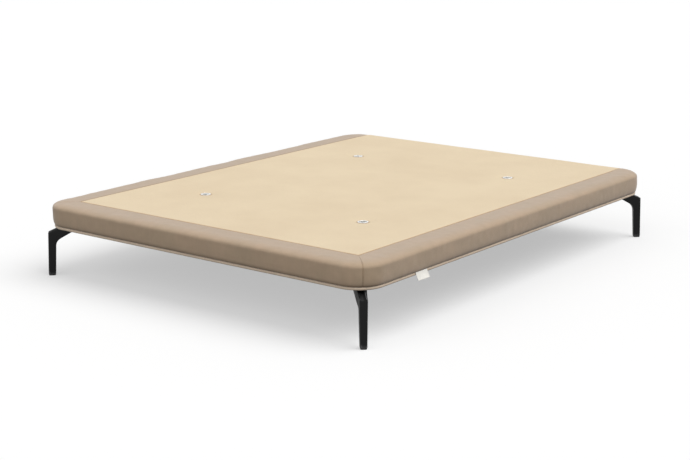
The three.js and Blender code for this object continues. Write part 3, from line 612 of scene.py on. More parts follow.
def band_profile(cover, piping, detail):
    """The outer face of a border band, from the panel seam to the groove over the piping."""
    seam = cover.border - cover.gap / 2
    insets, heights = side_profile(cover, piping, detail, 0)
    dip_heights = cover.height - cover.seam_dip * (1 - DIP_SHARES) ** 2
    flat = np.linspace(seam - cover.seam_run, insets[0], SIDE_STEPS + 1)[:-1]
    return (
        np.concatenate([seam - DIP_SHARES * cover.seam_run, flat, insets]),
        np.concatenate([dip_heights, np.full(len(flat), cover.height), heights]),
    )


def cover_band(name, cover, piping, detail, way, profile, has_panel_seam):
    """One band of the cover, with waves, ripples, puckers and drawn-in seams in its outer face, and painted
    shade along its groove and seams.
    """
    insets, heights = profile
    out_inset, out_height = line_normals(insets, heights)
    places, normals, gone = way
    size = (len(gone), len(insets))
    flat = places[:, None, :] - insets[None, :, None] * normals[:, None, :]
    level = np.broadcast_to(heights[None, :, None], (*size, 1))
    points = np.concatenate([flat, level], axis=2).reshape(-1, 3)
    groove = groove_height(cover, piping)
    distance = np.concatenate([[0], np.cumsum(np.hypot(np.diff(insets), np.diff(heights)))])
    from_mitres = (gone - gone[0], gone[-1] - gone)

    lift = bumps(points, cover.ripple, cover.ripple_length, detail.seed).reshape(size)
    roll = cover.height - cover.edge_drop / 2
    near_roll = np.exp(-(((heights - roll) / cover.edge_drop) ** 2)) * fade(insets, cover.border)
    waves = bumps(points, cover.wave, cover.wave_length, detail.seed + 1).reshape(size)
    lift = lift + waves * near_roll
    if has_panel_seam:
        puckers = np.cos(2 * math.pi * gone / cover.pucker_pitch)[:, None]
        lift = lift + cover.pucker * puckers * np.exp(-distance / cover.seam_run)[None, :]
    lift[:, :2] *= SEAM_LIFT_SHARE
    lift[:, -2:] = 0
    for away in from_mitres:
        lift = lift - (cover.mitre_dip * fade(away, cover.mitre_run) ** 2)[:, None]
    lift[:, -1] = np.minimum(lift[:, -1], 0)
    face = np.stack([insets + lift * out_inset, heights + lift * out_height], axis=2)

    picks = np.unique(np.linspace(0, size[1] - 2, BACK_STEPS + 1).round().astype(int))[::-1]
    back = np.concatenate([
        [(cover.flange, groove), (cover.flange, groove + cover.thickness)],
        [(cover.tuck_depth + cover.thickness, groove + cover.thickness)],
        np.stack([
            insets - cover.thickness * out_inset, heights - cover.thickness * out_height,
        ], axis=1)[picks],
    ])
    section = np.concatenate([face, np.tile(back, (size[0], 1, 1))], axis=1)

    # Painted shade: darker towards the groove over the piping, along the panel seam and along the corner
    # seams.
    tone = fade(face[:, :, 1] - groove, cover.tuck_height * GROOVE_REACH_SHARE) ** 2
    if has_panel_seam:
        tone = tone + fade(distance, cover.seam_run * SEAM_REACH_SHARE)[None, :] * SEAM_SHADE_SHARE
    for away in from_mitres:
        tone = tone + (np.exp(-away / (cover.mitre_run * MITRE_REACH_SHARE)) * MITRE_SHADE_SHARE)[:, None]
    shades = np.ones(section.shape[:2])
    shades[:, :size[1]] = np.clip(tone, 0, 1)
    return sweep(name, way, section[:, :, 0], section[:, :, 1], shades=shades)


def seam_stations(way, run):
    """Adds close stations beside both ends of the way, where the cloth turns down to a seam."""
    places, normals, gone = way
    near = STATION_SHARES * run
    wanted = np.unique(np.concatenate([gone, near, gone[-1] - near]).round(6))
    places = np.stack([np.interp(wanted, gone, places[:, k]) for k in (0, 1)], axis=1)
    normals = np.stack([np.interp(wanted, gone, normals[:, k]) for k in (0, 1)], axis=1)
    normals = normals / np.linalg.norm(normals, axis=1, keepdims=True)
    return places, normals, wanted


def part_from_seams(way, gap):
    """Draws both ends of the way back by half a seam gap."""
    places, normals, gone = way
    places = places.copy()
    for end, step in ((0, 1), (-1, -1)):
        along = np.array([-normals[end][1], normals[end][0]])
        places[end] += along * step * gap / 2
    return places, normals, gone


BAND_TURNS = {
    "border_foot": [("foot_left", 0.5, 1), ("foot_right", 0, 0.5)],
    "border_right": [("foot_right", 0.5, 1), ("head_right", 0, 1)],
    "border_left": [("head_left", 0, 1), ("foot_left", 0, 0.5)],
    "border_head": [("head_right", 1, 1), ("head_left", 0, 0)],
}


def make_borders(scene):
    cover, piping, detail = scene.base_cover, scene.base_piping, scene.base_detail
    cloth = border_cloth(scene.base_finishes, cover.height)
    for node, turns in BAND_TURNS.items():
        way = part_from_seams(seam_stations(way_round(cover, detail, turns), cover.mitre_run), cover.gap)
        has_panel_seam = node != "border_head"
        if has_panel_seam:
            profile = band_profile(cover, piping, detail)
        else:
            profile = side_profile(cover, piping, detail, cover.head_seam_share)
        band = cover_band("cover_" + node, cover, piping, detail, way, profile, has_panel_seam)
        dress(band, cloth, "border_fabric", node)


# Top panel and foam top

# The hollow's outer end, as a share of its radius
DIMPLE_REACH_SHARE = 1.25
# The creases round a vent: the size of each wave, its number of folds and how it slides with the turn
CREASE_WAVES = ((0.55, 2, 1), (0.3, 3, -2), (0.25, 7, 1))
CREASE_FIRST_TURN = 0.7
CREASE_NEXT_TURN = 1.9
# Where lines of points lie beside the panel's seam and in its head corners, as shares of their runs
PANEL_SEAM_SHARES = np.array([0, 0.08, 0.2, 0.35, 0.6, 1.0])
PANEL_TURN_SHARES = np.array([0, 0.35, 0.65, 0.85, 1.0])
# How much of the puckers shows in the panel, and the distance between its ripples
PANEL_PUCKER_SHARE = 0.5
PANEL_RIPPLE_LENGTH = 0.16
# The painted shades along the seam and round a vent: how far they reach, and how strong the vent's is
PANEL_REACH_SHARE = 0.65
VENT_REACH_SHARE = 0.3
VENT_SHADE_SHARE = 0.9
# Steps in the edge foam's section
FOAM_STEPS = 17
# Distance between grid lines of the panel and of the foam, in spacings along the cloth
PANEL_SPACING = 1.5
FOAM_SPACING = 4


def vent_places(vents):
    return {
        corner: (sign_x * vents.spacing_x / 2, vents.shift_y + sign_y * vents.spacing_y / 2)
        for corner, (sign_x, sign_y) in CORNER_SIGNS.items()
    }


def steps_between(low, high, spacing):
    return np.linspace(low, high, max(2, round((high - low) / spacing) + 1))


def lines_across(stops, patch_stops, spacing, patch_steps):
    """Grid lines through the stops, with a set count of steps over each vent's patch."""
    lines = []
    for low, high in zip(stops, stops[1:]):
        if (low, high) in patch_stops:
            part = np.linspace(low, high, patch_steps + 1)
        else:
            part = steps_between(low, high, spacing)
        lines.extend(part[:-1])
    return np.array([*lines, stops[-1]])


class VentedSheet:
    """A flat sheet of square cells with a round, finely meshed patch at each vent."""

    patch_steps = 16
    patch_half = 0.080
    round_reach = 0.060
    blend_shares = (0.68, 0.34)
    ring_steps = 21
    ring_crowding = 1.6

    def __init__(self, x_stops, y_stops, vents, hole_radius, spacing):
        self.centres = list(vent_places(vents).values())
        half = self.patch_half
        x_patches = {(x - half, x + half) for x, _ in self.centres}
        y_patches = {(y - half, y + half) for _, y in self.centres}
        x_stops = sorted({*x_stops, *(value for pair in x_patches for value in pair)})
        y_stops = sorted({*y_stops, *(value for pair in y_patches for value in pair)})
        self.x = lines_across(x_stops, x_patches, spacing, self.patch_steps)
        self.y = lines_across(y_stops, y_patches, spacing, self.patch_steps)
        grid = np.stack(np.meshgrid(self.x, self.y), axis=2).reshape(-1, 2)
        self.points = [tuple(point) for point in grid]
        self.faces = []
        self.add_cells()
        for centre in self.centres:
            self.add_patch(centre, hole_radius)

    def grid_index(self, column, row):
        return row * len(self.x) + column

    def add_cells(self):
        for row in range(len(self.y) - 1):
            for column in range(len(self.x) - 1):
                x = (self.x[column] + self.x[column + 1]) / 2
                y = (self.y[row] + self.y[row + 1]) / 2
                if all(max(abs(x - cx), abs(y - cy)) >= self.patch_half for cx, cy in self.centres):
                    a, b = self.grid_index(column, row), self.grid_index(column + 1, row)
                    c, d = self.grid_index(column + 1, row + 1), self.grid_index(column, row + 1)
                    self.faces.append((a, b, c, d))

    def add_patch(self, centre, hole_radius):
        steps = self.patch_steps
        left = int(np.argmin(abs(self.x - (centre[0] - self.patch_half))))
        low = int(np.argmin(abs(self.y - (centre[1] - self.patch_half))))
        sides = ((0, 0, 1, 0), (steps, 0, 0, 1), (steps, steps, -1, 0), (0, steps, 0, -1))
        outer = [
            self.grid_index(left + start_x + k * step_x, low + start_y + k * step_y)
            for start_x, start_y, step_x, step_y in sides for k in range(steps)
        ]
        square = [self.points[i] for i in outer]
        angles = [math.atan2(y - centre[1], x - centre[0]) for x, y in square]
        shares = np.linspace(0, 1, self.ring_steps + 1) ** self.ring_crowding
        radii = (hole_radius + (self.round_reach - hole_radius) * shares)[::-1]
        rings = [(self.round_reach, blend) for blend in self.blend_shares]
        rings += [(radius, 0) for radius in radii]
        for radius, blend in rings:
            inner = []
            for angle, (x, y) in zip(angles, square):
                round_x = centre[0] + radius * math.cos(angle)
                round_y = centre[1] + radius * math.sin(angle)
                inner.append(len(self.points))
                self.points.append((round_x + (x - round_x) * blend, round_y + (y - round_y) * blend))
            count = len(outer)
            for k in range(count):
                after = (k + 1) % count
                self.faces.append((outer[k], outer[after], inner[after], inner[k]))
            outer = inner


def closed_sheet(name, top, bottom, faces, uvs, shades=None):
    """Closes a sheet with an equal sheet below it. top, bottom and uvs hold matching rows."""
    used = sorted({i for face in faces for i in face})
    order = {old: new for new, old in enumerate(used)}
    faces = [tuple(order[i] for i in face) for face in faces]
    count = len(used)
    edges = {}
    for face in faces:
        for a, b in zip(face, (*face[1:], face[0])):
            edges[(a, b)] = True
    under = [tuple(i + count for i in face[::-1]) for face in faces]
    rim = [(a, a + count, b + count, b) for a, b in edges if (b, a) not in edges]
    every = [*faces, *under, *rim]
    corners = np.array([i % count for face in every for i in face])
    values = None if shades is None else np.tile(shades[used], 2)
    return build_object(name, np.concatenate([top[used], bottom[used]]), every, uvs[used][corners], values)


def dimple_drop(vents, radius):
    """How far the cloth lies below the flat top at a distance from a vent's middle."""
    reach = vents.dimple * DIMPLE_REACH_SHARE
    share = np.clip((reach - radius) / (reach - vents.seat), 0, 1)
    return vents.depth * share ** vents.steepness


def creases(vents, radius, angle, turn):
    """Low folds that run out from a vent."""
    fold = sum(size * np.cos(folds * angle + slide * turn) for size, folds, slide in CREASE_WAVES)
    rise = np.clip((radius - vents.seat) / vents.seat, 0, 1)
    away = np.exp(-np.clip(radius - vents.seat, 0, None) / vents.crease_reach)
    return vents.crease * fold * rise * away


def from_vents(vents, x, y):
    """The distance and the direction of each point from the middle of each vent, vent by vent."""
    for centre_x, centre_y in vent_places(vents).values():
        yield np.hypot(x - centre_x, y - centre_y), np.arctan2(y - centre_y, x - centre_x)


def panel_corner(cover):
    """The middle of the rounding in the panel's head right corner."""
    return tuple(size / 2 - cover.border - cover.inner_radius for size in (cover.width, cover.length))


def panel_limit(cover, y):
    """Half the width of the top panel at a place along the base."""
    corner_x, corner_y = panel_corner(cover)
    rise = np.clip((y - corner_y) / cover.inner_radius, 0, 1)
    return corner_x + cover.inner_radius * np.sqrt(1 - rise ** 2) - cover.gap / 2


def make_top_panel(scene):
    cover, vents, detail = scene.base_cover, scene.base_vents, scene.base_detail
    run = cover.seam_run
    side = float(panel_limit(cover, 0.0))
    foot = -cover.length / 2 + cover.border + cover.gap / 2
    fold = cover.length / 2 - cover.border + cover.flat
    corner_y = panel_corner(cover)[1]
    near = PANEL_SEAM_SHARES * run
    turn = corner_y + cover.inner_radius * PANEL_TURN_SHARES
    hole = vents.bore + vents.collar_wall + cover.gap
    sheet = VentedSheet(
        [*(-side + near), *(side - near)], [*(foot + near), *turn, fold], vents, hole,
        detail.spacing * PANEL_SPACING,
    )

    # The head end follows the rounded edge down to its seam.
    shares = np.linspace(0, cover.head_seam_share, detail.edge_steps)[1:]
    edge_insets, edge_heights = edge_curve(cover, shares)
    columns = len(sheet.x)
    count = len(sheet.points)
    below = (len(sheet.y) - 1) * columns
    for row in range(count, count + len(edge_insets) * columns, columns):
        for column in range(columns - 1):
            a, b = below + column, below + column + 1
            sheet.faces.append((a, b, row + column + 1, row + column))
        below = row
    flat = np.array(sheet.points)
    wrapped = np.cumsum(np.hypot(
        np.diff(edge_insets, prepend=cover.border - cover.flat),
        np.diff(edge_heights, prepend=cover.height),
    ))
    out_inset, out_height = line_normals(edge_insets, edge_heights)
    x = np.concatenate([flat[:, 0], np.tile(sheet.x, len(edge_insets))])
    y = np.concatenate([flat[:, 1], np.repeat(cover.length / 2 - edge_insets, columns)])
    z = np.concatenate([np.full(count, cover.height), np.repeat(edge_heights, columns)])
    cloth_y = np.concatenate([flat[:, 1], fold + np.repeat(wrapped, columns)])
    normals = np.zeros((len(x), 3))
    normals[:count, 2] = 1
    normals[count:, 1] = -np.repeat(out_inset, columns)
    normals[count:, 2] = np.repeat(out_height, columns)

    limit = panel_limit(cover, np.minimum(y, corner_y + cover.inner_radius))
    drawn_in = (side - limit) * np.clip((np.abs(x) - side + 4 * run) / (3 * run), 0, 1)
    x = np.sign(x) * (np.abs(x) - drawn_in)
    round_corner = (np.abs(x) > side - cover.gap) & (y < foot + cover.gap)
    pull = set_back(cover.inner_radius)
    x[round_corner] -= np.sign(x[round_corner]) * pull
    y[round_corner] += pull

    to_side = fade(limit - np.abs(x), run)
    to_foot = fade(y - foot, run)
    to_head = fade(cloth_y.max() - cloth_y, run)
    to_end = np.maximum(to_foot, to_head)
    to_seam = np.maximum(to_side, to_end)
    pucker_side = np.cos(2 * math.pi * cloth_y / cover.pucker_pitch) * to_side * (to_side < 1)
    pucker_end = np.cos(2 * math.pi * x / cover.pucker_pitch) * to_end * (to_foot < 1)
    lift = cover.pucker * (pucker_side + pucker_end) * PANEL_PUCKER_SHARE - cover.seam_dip * to_seam ** 2
    flat_place = np.stack([x, y, z], axis=1)
    lift += bumps(flat_place, cover.ripple, PANEL_RIPPLE_LENGTH, detail.seed + 3) * (1 - to_seam)
    # Painted shade: the cloth is darkened along its seams and in a ring round each vent's rim, where shade
    # falls in those hollows.
    seam_distance = np.minimum(np.minimum(limit - np.abs(x), y - foot), cloth_y.max() - cloth_y)
    shades = fade(seam_distance, run * PANEL_REACH_SHARE)
    for index, (radius, angle) in enumerate(from_vents(vents, x, y)):
        folds = creases(vents, radius, angle, CREASE_FIRST_TURN + CREASE_NEXT_TURN * index)
        lift = np.where(radius < vents.seat, 0, lift)
        lift = lift + np.where(radius < 4 * vents.dimple, folds - dimple_drop(vents, radius), 0)
        beside = fade(radius - vents.rim, vents.rim * VENT_REACH_SHARE)
        shades = np.maximum(shades, beside * VENT_SHADE_SHARE)
    top = flat_place + lift[:, None] * normals
    bottom = flat_place + (np.minimum(lift, 0) - cover.thickness)[:, None] * normals
    cloth_place = np.stack([x, cloth_y], axis=1)
    panel = closed_sheet("cover_top_panel", top, bottom, sheet.faces, cloth_place, shades)
    dress(panel, panel_cloth(scene.base_finishes), "panel_fabric", "top_panel")


def make_foam(scene):
    cover, vents, detail = scene.base_cover, scene.base_vents, scene.base_detail
    piping, foam_sizes = scene.base_piping, scene.base_foam
    material = foam_finish(scene.base_finishes)
    top_height = cover.height - cover.thickness - cover.gap
    bottom_height = top_height - foam_sizes.thickness
    seam = cover.border + cover.gap / 2
    side, head = cover.width / 2 - seam, cover.length / 2 - seam
    spacing = detail.spacing * FOAM_SPACING
    sheet = VentedSheet([-side, side], [-head, head], vents, foam_sizes.well, spacing)
    flat = np.array(sheet.points)
    heights = np.full(len(flat), top_height - cover.ripple * 2)
    for radius, _ in from_vents(vents, flat[:, 0], flat[:, 1]):
        heights -= dimple_drop(vents, radius) + vents.crease * (radius < 3 * vents.dimple)
    top = np.column_stack([flat, heights])
    bottom = np.column_stack([flat, np.full(len(flat), bottom_height)])
    slab = closed_sheet("foam_top", top, bottom, sheet.faces, flat)
    dress(slab, material, "foam", "top_foam")

    insets, heights = band_profile(cover, piping, detail)
    out_inset, out_height = line_normals(insets, heights)
    depth = cover.thickness + cover.gap + cover.wave
    picks = np.unique(np.linspace(0, len(insets) - 3, FOAM_STEPS + 1).round().astype(int))
    low = groove_height(cover, piping) + cover.thickness + cover.gap
    section = np.concatenate([
        np.stack([insets - depth * out_inset, heights - depth * out_height], axis=1)[picks],
        [(cover.tuck_depth + depth, low), (cover.flange, low)],
        [(cover.flange, bottom_height), (cover.border - cover.gap / 2, bottom_height)],
    ])
    way = way_round(cover, detail)
    rows = np.tile(section, (len(way[2]), 1, 1))
    edges = sweep("foam_edges", way, rows[:, :, 0], rows[:, :, 1], closed=True)
    dress(edges, material, "foam", *("edge_foam_" + name for name in ("right", "head", "left", "foot")))


# Piping and label

# Steps round the cord, and the distance between its uneven places
CORD_STEPS = 24
FLUTTER_LENGTH = 0.021
# Grid lines of the label
LABEL_COLUMNS = 33
LABEL_ROWS = 25
# The label's own bend: how it hangs, and its soft wave and skew from side to side
HANG_POWER = 1.25
LABEL_WAVE_SHARE = 0.06
LABEL_WAVE_TURNS = 2.6
LABEL_WAVE_START = 0.9
LABEL_SKEW_TURN = 5
# Grid lines from the label's edges to its rows of stitches, and from its top to their start
HEM_LINES = 2
HEM_START = 5
# How far the stitches stand out, in thicknesses of the label, and their scale
HEM_RISE_SHARE = 0.2
HEM_STITCH_SHARE = 0.55


def make_piping(scene):
    cover, piping, detail = scene.base_cover, scene.base_piping, scene.base_detail
    way = way_round(cover, detail)
    rows = len(way[2])
    middle = cover.underside + piping.radius
    tape_top = cover.underside + piping.tape_top
    tape_bottom = tape_top - piping.tape
    start = math.asin((tape_top - middle) / piping.radius)
    end = 2 * math.pi + math.asin((tape_bottom - middle) / piping.radius)
    angles = np.linspace(start, end, CORD_STEPS + 1)
    cord = np.column_stack([way[0], np.full(rows, middle)])
    swell = bumps(cord, piping.flutter, FLUTTER_LENGTH, detail.seed + 5)[:, None]
    radius = piping.radius - piping.flutter + swell * np.abs(np.sin((angles - start) / 2))[None, :]
    tape = np.full((rows, 1), piping.reach)
    insets = np.concatenate([tape, piping.inset + piping.radius + radius * np.cos(angles), tape], axis=1)
    heights = np.concatenate([
        np.full((rows, 1), tape_top), middle + radius * np.sin(angles), np.full((rows, 1), tape_bottom),
    ], axis=1)
    ring = sweep("edge_piping", way, insets, heights, closed=True)
    dress(ring, piping_cloth(scene.base_finishes), "piping_fabric", "piping")


def make_label(scene):
    cover, piping, label = scene.base_cover, scene.base_piping, scene.base_label
    top = groove_height(cover, piping) - cover.gap / 2
    bottom = cover.underside + piping.radius - label.drop
    across = np.linspace(-label.width / 2, label.width / 2, LABEL_COLUMNS)
    share, side = np.meshgrid(np.linspace(0, 1, LABEL_ROWS), across / label.width, indexing="ij")
    hang = share ** HANG_POWER
    wave = 1 + LABEL_WAVE_SHARE * np.sin(LABEL_WAVE_TURNS * math.pi * side + LABEL_WAVE_START)
    x = cover.width / 2 - piping.inset + cover.gap + label.curl * hang * wave
    y = -cover.length / 2 + label.from_foot + side * label.width + label.lean * (share - 0.5)
    y += label.skew * hang * np.sin(LABEL_SKEW_TURN * side)
    inner = np.stack([x, y, top + (bottom - top) * share], axis=2).reshape(-1, 3)
    outer = inner + np.array([label.thickness, 0, 0])
    grid = np.arange(share.size).reshape(share.shape)
    faces = np.stack([grid[:-1, :-1], grid[1:, :-1], grid[1:, 1:], grid[:-1, 1:]], axis=2).reshape(-1, 4)
    uvs = np.stack([side * label.width, -share * (top - bottom)], axis=2).reshape(-1, 2)
    tag = closed_sheet("side_label", outer, inner, [tuple(face) for face in faces.tolist()], uvs)
    dress(tag, label_cloth(scene.base_finishes), "label_cloth", "label")

    face = outer.reshape(*share.shape, 3) + np.array([label.thickness * HEM_RISE_SHARE, 0, 0])
    hems = [
        face[HEM_START:-HEM_LINES, HEM_LINES],
        face[HEM_START:-HEM_LINES, -HEM_LINES - 1],
        face[-HEM_LINES - 1, HEM_LINES:-HEM_LINES],
    ]
    stitches = stitch_rows("label_stitches", hems, scene, 0.0, HEM_STITCH_SHARE)
    dress(stitches, thread_finish("label_thread", scene.base_finishes.label), "label_cloth")


# Geometry Nodes

class NodeMaker:
    """Adds nodes to a tree, step by step."""

    def __init__(self, tree):
        self.tree = tree

    def add(self, kind, links=None, **settings):
        """Adds a node. links fills inputs, by name or number, with a node's first output, another socket
        or a plain value."""
        node = self.tree.nodes.new(kind)
        for key, value in settings.items():
            setattr(node, key, value)
        for key, value in (links or {}).items():
            if isinstance(value, bpy.types.Node):
                value = value.outputs[0]
            if isinstance(value, bpy.types.NodeSocket):
                self.tree.links.new(value, node.inputs[key])
            else:
                node.inputs[key].default_value = value
        return node

    def math(self, operation, *values):
        return self.add("ShaderNodeMath", dict(enumerate(values)), operation=operation).outputs[0]


class Recipe(NodeMaker):
    """A Geometry Nodes tree with named inputs."""

    def __init__(self, name, inputs):
        self.tree = bpy.data.node_groups.new(name, "GeometryNodeTree")
        self.tree.interface.new_socket("Geometry", in_out="INPUT", socket_type="NodeSocketGeometry")
        for label, kind in inputs.items():
            self.tree.interface.new_socket(label, in_out="INPUT", socket_type="NodeSocket" + kind)
        self.tree.interface.new_socket("Geometry", in_out="OUTPUT", socket_type="NodeSocketGeometry")
        self.start = self.tree.nodes.new("NodeGroupInput")
        self.end = self.tree.nodes.new("NodeGroupOutput")

    def given(self, label):
        return self.start.outputs[label]

    def finish(self, geometry):
        realized = self.add("GeometryNodeRealizeInstances", {"Geometry": geometry})
        painted = self.add("GeometryNodeSetMaterial", {
            "Geometry": realized, "Material": self.given("Finish"),
        })
        self.tree.links.new(painted.outputs[0], self.end.inputs[0])
        return self.tree

    @staticmethod
    def apply(tree, name, carrier, values):
        """Runs the tree on the carrier and returns the plain mesh that it makes."""
        modifier = carrier.modifiers.new(tree.name, "NODES")
        modifier.node_group = tree
        sockets = {s.name: s.identifier for s in tree.interface.items_tree if s.in_out == "INPUT"}
        for label, value in values.items():
            modifier[sockets[label]] = value
        return evaluated_copy(name, carrier)


def row_tree():
    """Small shapes set along a path at an even spacing, leaning from its direction."""
    existing = bpy.data.node_groups.get("shapes_along_path")
    if existing:
        return existing
    recipe = Recipe(
        "shapes_along_path",
        {"Shape": "Object", "Spacing": "Float", "Lean": "Float", "Size": "Float", "Finish": "Material"},
    )
    curve = recipe.add("GeometryNodeMeshToCurve", {"Mesh": recipe.given("Geometry")})
    spaced = recipe.add("GeometryNodeResampleCurve", {"Curve": curve}, mode="LENGTH")
    recipe.tree.links.new(recipe.given("Spacing"), spaced.inputs["Length"])
    tangent = recipe.add("GeometryNodeInputTangent")
    aligned = recipe.add("FunctionNodeAlignRotationToVector", {"Vector": tangent}, axis="X")
    lean = recipe.add("ShaderNodeCombineXYZ", {"Z": recipe.given("Lean")})
    turn = recipe.add("FunctionNodeEulerToRotation", {0: lean})
    turned = recipe.add("FunctionNodeRotateRotation", {0: aligned, 1: turn}, rotation_space="LOCAL")
    shape = recipe.add("GeometryNodeObjectInfo", {"Object": recipe.given("Shape")})
    placed = recipe.add("GeometryNodeInstanceOnPoints", {
        "Points": spaced,
        "Instance": shape.outputs["Geometry"],
        "Rotation": turned,
        "Scale": recipe.given("Size"),
    })
    return recipe.finish(placed)


def point_tree():
    """One shape set upright on each point, each turned at random from a fixed seed."""
    recipe = Recipe("shapes_on_points", {"Shape": "Object", "Seed": "Int", "Finish": "Material"})
    angle = recipe.add("FunctionNodeRandomValue", {
        "Seed": recipe.given("Seed"), 2: 0.0, 3: 2 * math.pi,
    }, data_type="FLOAT")
    lean = recipe.add("ShaderNodeCombineXYZ", {"Z": angle.outputs[1]})
    turn = recipe.add("FunctionNodeEulerToRotation", {0: lean})
    shape = recipe.add("GeometryNodeObjectInfo", {"Object": recipe.given("Shape")})
    placed = recipe.add("GeometryNodeInstanceOnPoints", {
        "Points": recipe.given("Geometry"),
        "Instance": shape.outputs["Geometry"],
        "Rotation": turn,
    })
    return recipe.finish(placed)


def gauze_tree():
    """A round piece of woven wire gauze, flat on the ground and centred."""
    recipe = Recipe(
        "woven_gauze", {"Radius": "Float", "Pitch": "Float", "Wire": "Float", "Finish": "Material"},
    )
    radius, pitch, wire = (recipe.given(label) for label in ("Radius", "Pitch", "Wire"))
    half_count = recipe.math("FLOOR", recipe.math("DIVIDE", radius, pitch))
    count = recipe.math("ADD", recipe.math("MULTIPLY", half_count, 2.0), 1.0)
    first_x = recipe.math("MULTIPLY", recipe.math("MULTIPLY", half_count, -1.0), pitch)
    start = recipe.add("ShaderNodeCombineXYZ", {"X": first_x})
    step = recipe.add("ShaderNodeCombineXYZ", {"X": pitch})
    row = recipe.add("GeometryNodeMeshLine", {"Count": count, "Start Location": start, "Offset": step})
    along = recipe.add("GeometryNodeCurvePrimitiveLine", {"Start": (0, -1, 0), "End": (0, 1, 0)})
    bent = recipe.add("GeometryNodeResampleCurve", {
        "Curve": along, "Count": recipe.math("MULTIPLY", count, 2.0),
    })
    ring = recipe.add("GeometryNodeCurvePrimitiveCircle", {"Resolution": 6, "Radius": wire})
    tube = recipe.add("GeometryNodeCurveToMesh", {"Curve": bent, "Profile Curve": ring, "Fill Caps": True})
    place = recipe.add("ShaderNodeSeparateXYZ", {0: recipe.add("GeometryNodeInputPosition")})
    square = recipe.math("MULTIPLY", place.outputs["X"], place.outputs["X"])
    left = recipe.math("SUBTRACT", recipe.math("MULTIPLY", radius, radius), square)
    chord = recipe.math("SQRT", recipe.math("MAXIMUM", left, recipe.math("MULTIPLY", wire, wire)))
    size = recipe.add("ShaderNodeCombineXYZ", {"X": 1.0, "Y": chord, "Z": 1.0})
    placed = recipe.add("GeometryNodeInstanceOnPoints", {"Points": row, "Instance": tube, "Scale": size})
    wires = recipe.add("GeometryNodeRealizeInstances", {"Geometry": placed})
    crossed = recipe.add("GeometryNodeTransform", {"Geometry": wires, "Rotation": (0, 0, math.pi / 2)})
    rate = recipe.math("DIVIDE", math.pi, pitch)
    wave_x, wave_y = (
        recipe.math("COSINE", recipe.math("MULTIPLY", place.outputs[axis], rate)) for axis in "XY"
    )
    over = recipe.math("MULTIPLY", recipe.math("MULTIPLY", wave_x, wave_y), wire)
    rise = recipe.add("ShaderNodeCombineXYZ", {"Z": over})
    fall = recipe.add("ShaderNodeCombineXYZ", {"Z": recipe.math("MULTIPLY", over, -1.0)})
    both = recipe.add("GeometryNodeJoinGeometry")
    for layer, offset in ((wires, rise), (crossed, fall)):
        woven = recipe.add("GeometryNodeSetPosition", {"Geometry": layer, "Offset": offset})
        recipe.tree.links.new(woven.outputs[0], both.inputs[0])
    return recipe.finish(both)


def line_object(name, lines):
    """Loose lines of points, joined by edges within each line."""
    points, edges = [], []
    for line in lines:
        edges.extend((len(points) + k, len(points) + k + 1) for k in range(len(line) - 1))
        points.extend(tuple(float(value) for value in point) for point in line)
    mesh = bpy.data.meshes.new(name)
    mesh.from_pydata(points, edges, [])
    return link_object(name, mesh)


# A stitch: where its rings lie from end to end, how thick they are and how far the ends dip
THREAD_SHARES = (-1, -0.92, -0.6, 0, 0.6, 0.92, 1)
THREAD_RADIUS_SHARES = (0.15, 0.6, 0.95, 1, 0.95, 0.6, 0.15)
THREAD_SIDES = 6
THREAD_DIP = 1.2


def thread_shape(stitches):
    """One stitch: a short thread along X that dips at both ends."""
    points = []
    for share, radius_share in zip(THREAD_SHARES, THREAD_RADIUS_SHARES):
        radius = radius_share * stitches.thread
        drop = stitches.thread * THREAD_DIP * share ** 4
        for k in range(THREAD_SIDES):
            angle = 2 * math.pi * k / THREAD_SIDES
            points.append((
                share * stitches.length / 2, radius * math.cos(angle), radius * math.sin(angle) - drop,
            ))
    return build_object("stitch_shape", points, ring_faces(len(THREAD_SHARES), THREAD_SIDES))


def stitch_rows(name, lines, scene, lean, scale=1.0):
    stitches = scene.base_stitches
    shape = thread_shape(stitches)
    made = Recipe.apply(row_tree(), name, line_object(name + "_lines", lines), {
        "Shape": shape, "Spacing": stitches.pitch * scale, "Lean": lean, "Size": scale,
    })
    remove_object(shape)
    smooth_all(made)
    return made


# Points of the border's section that the corner stitches leave out at its start and end
SECTION_START = 4
SECTION_END = 3
# How deep the corner and head stitches lie, as shares of the seams' depths, and their scale
MITRE_DEPTH_SHARE = 0.85
HEAD_INSET_SHARE = 0.7
HEAD_DEPTH_SHARE = 0.5
CORNER_STITCH_SHARE = 0.8


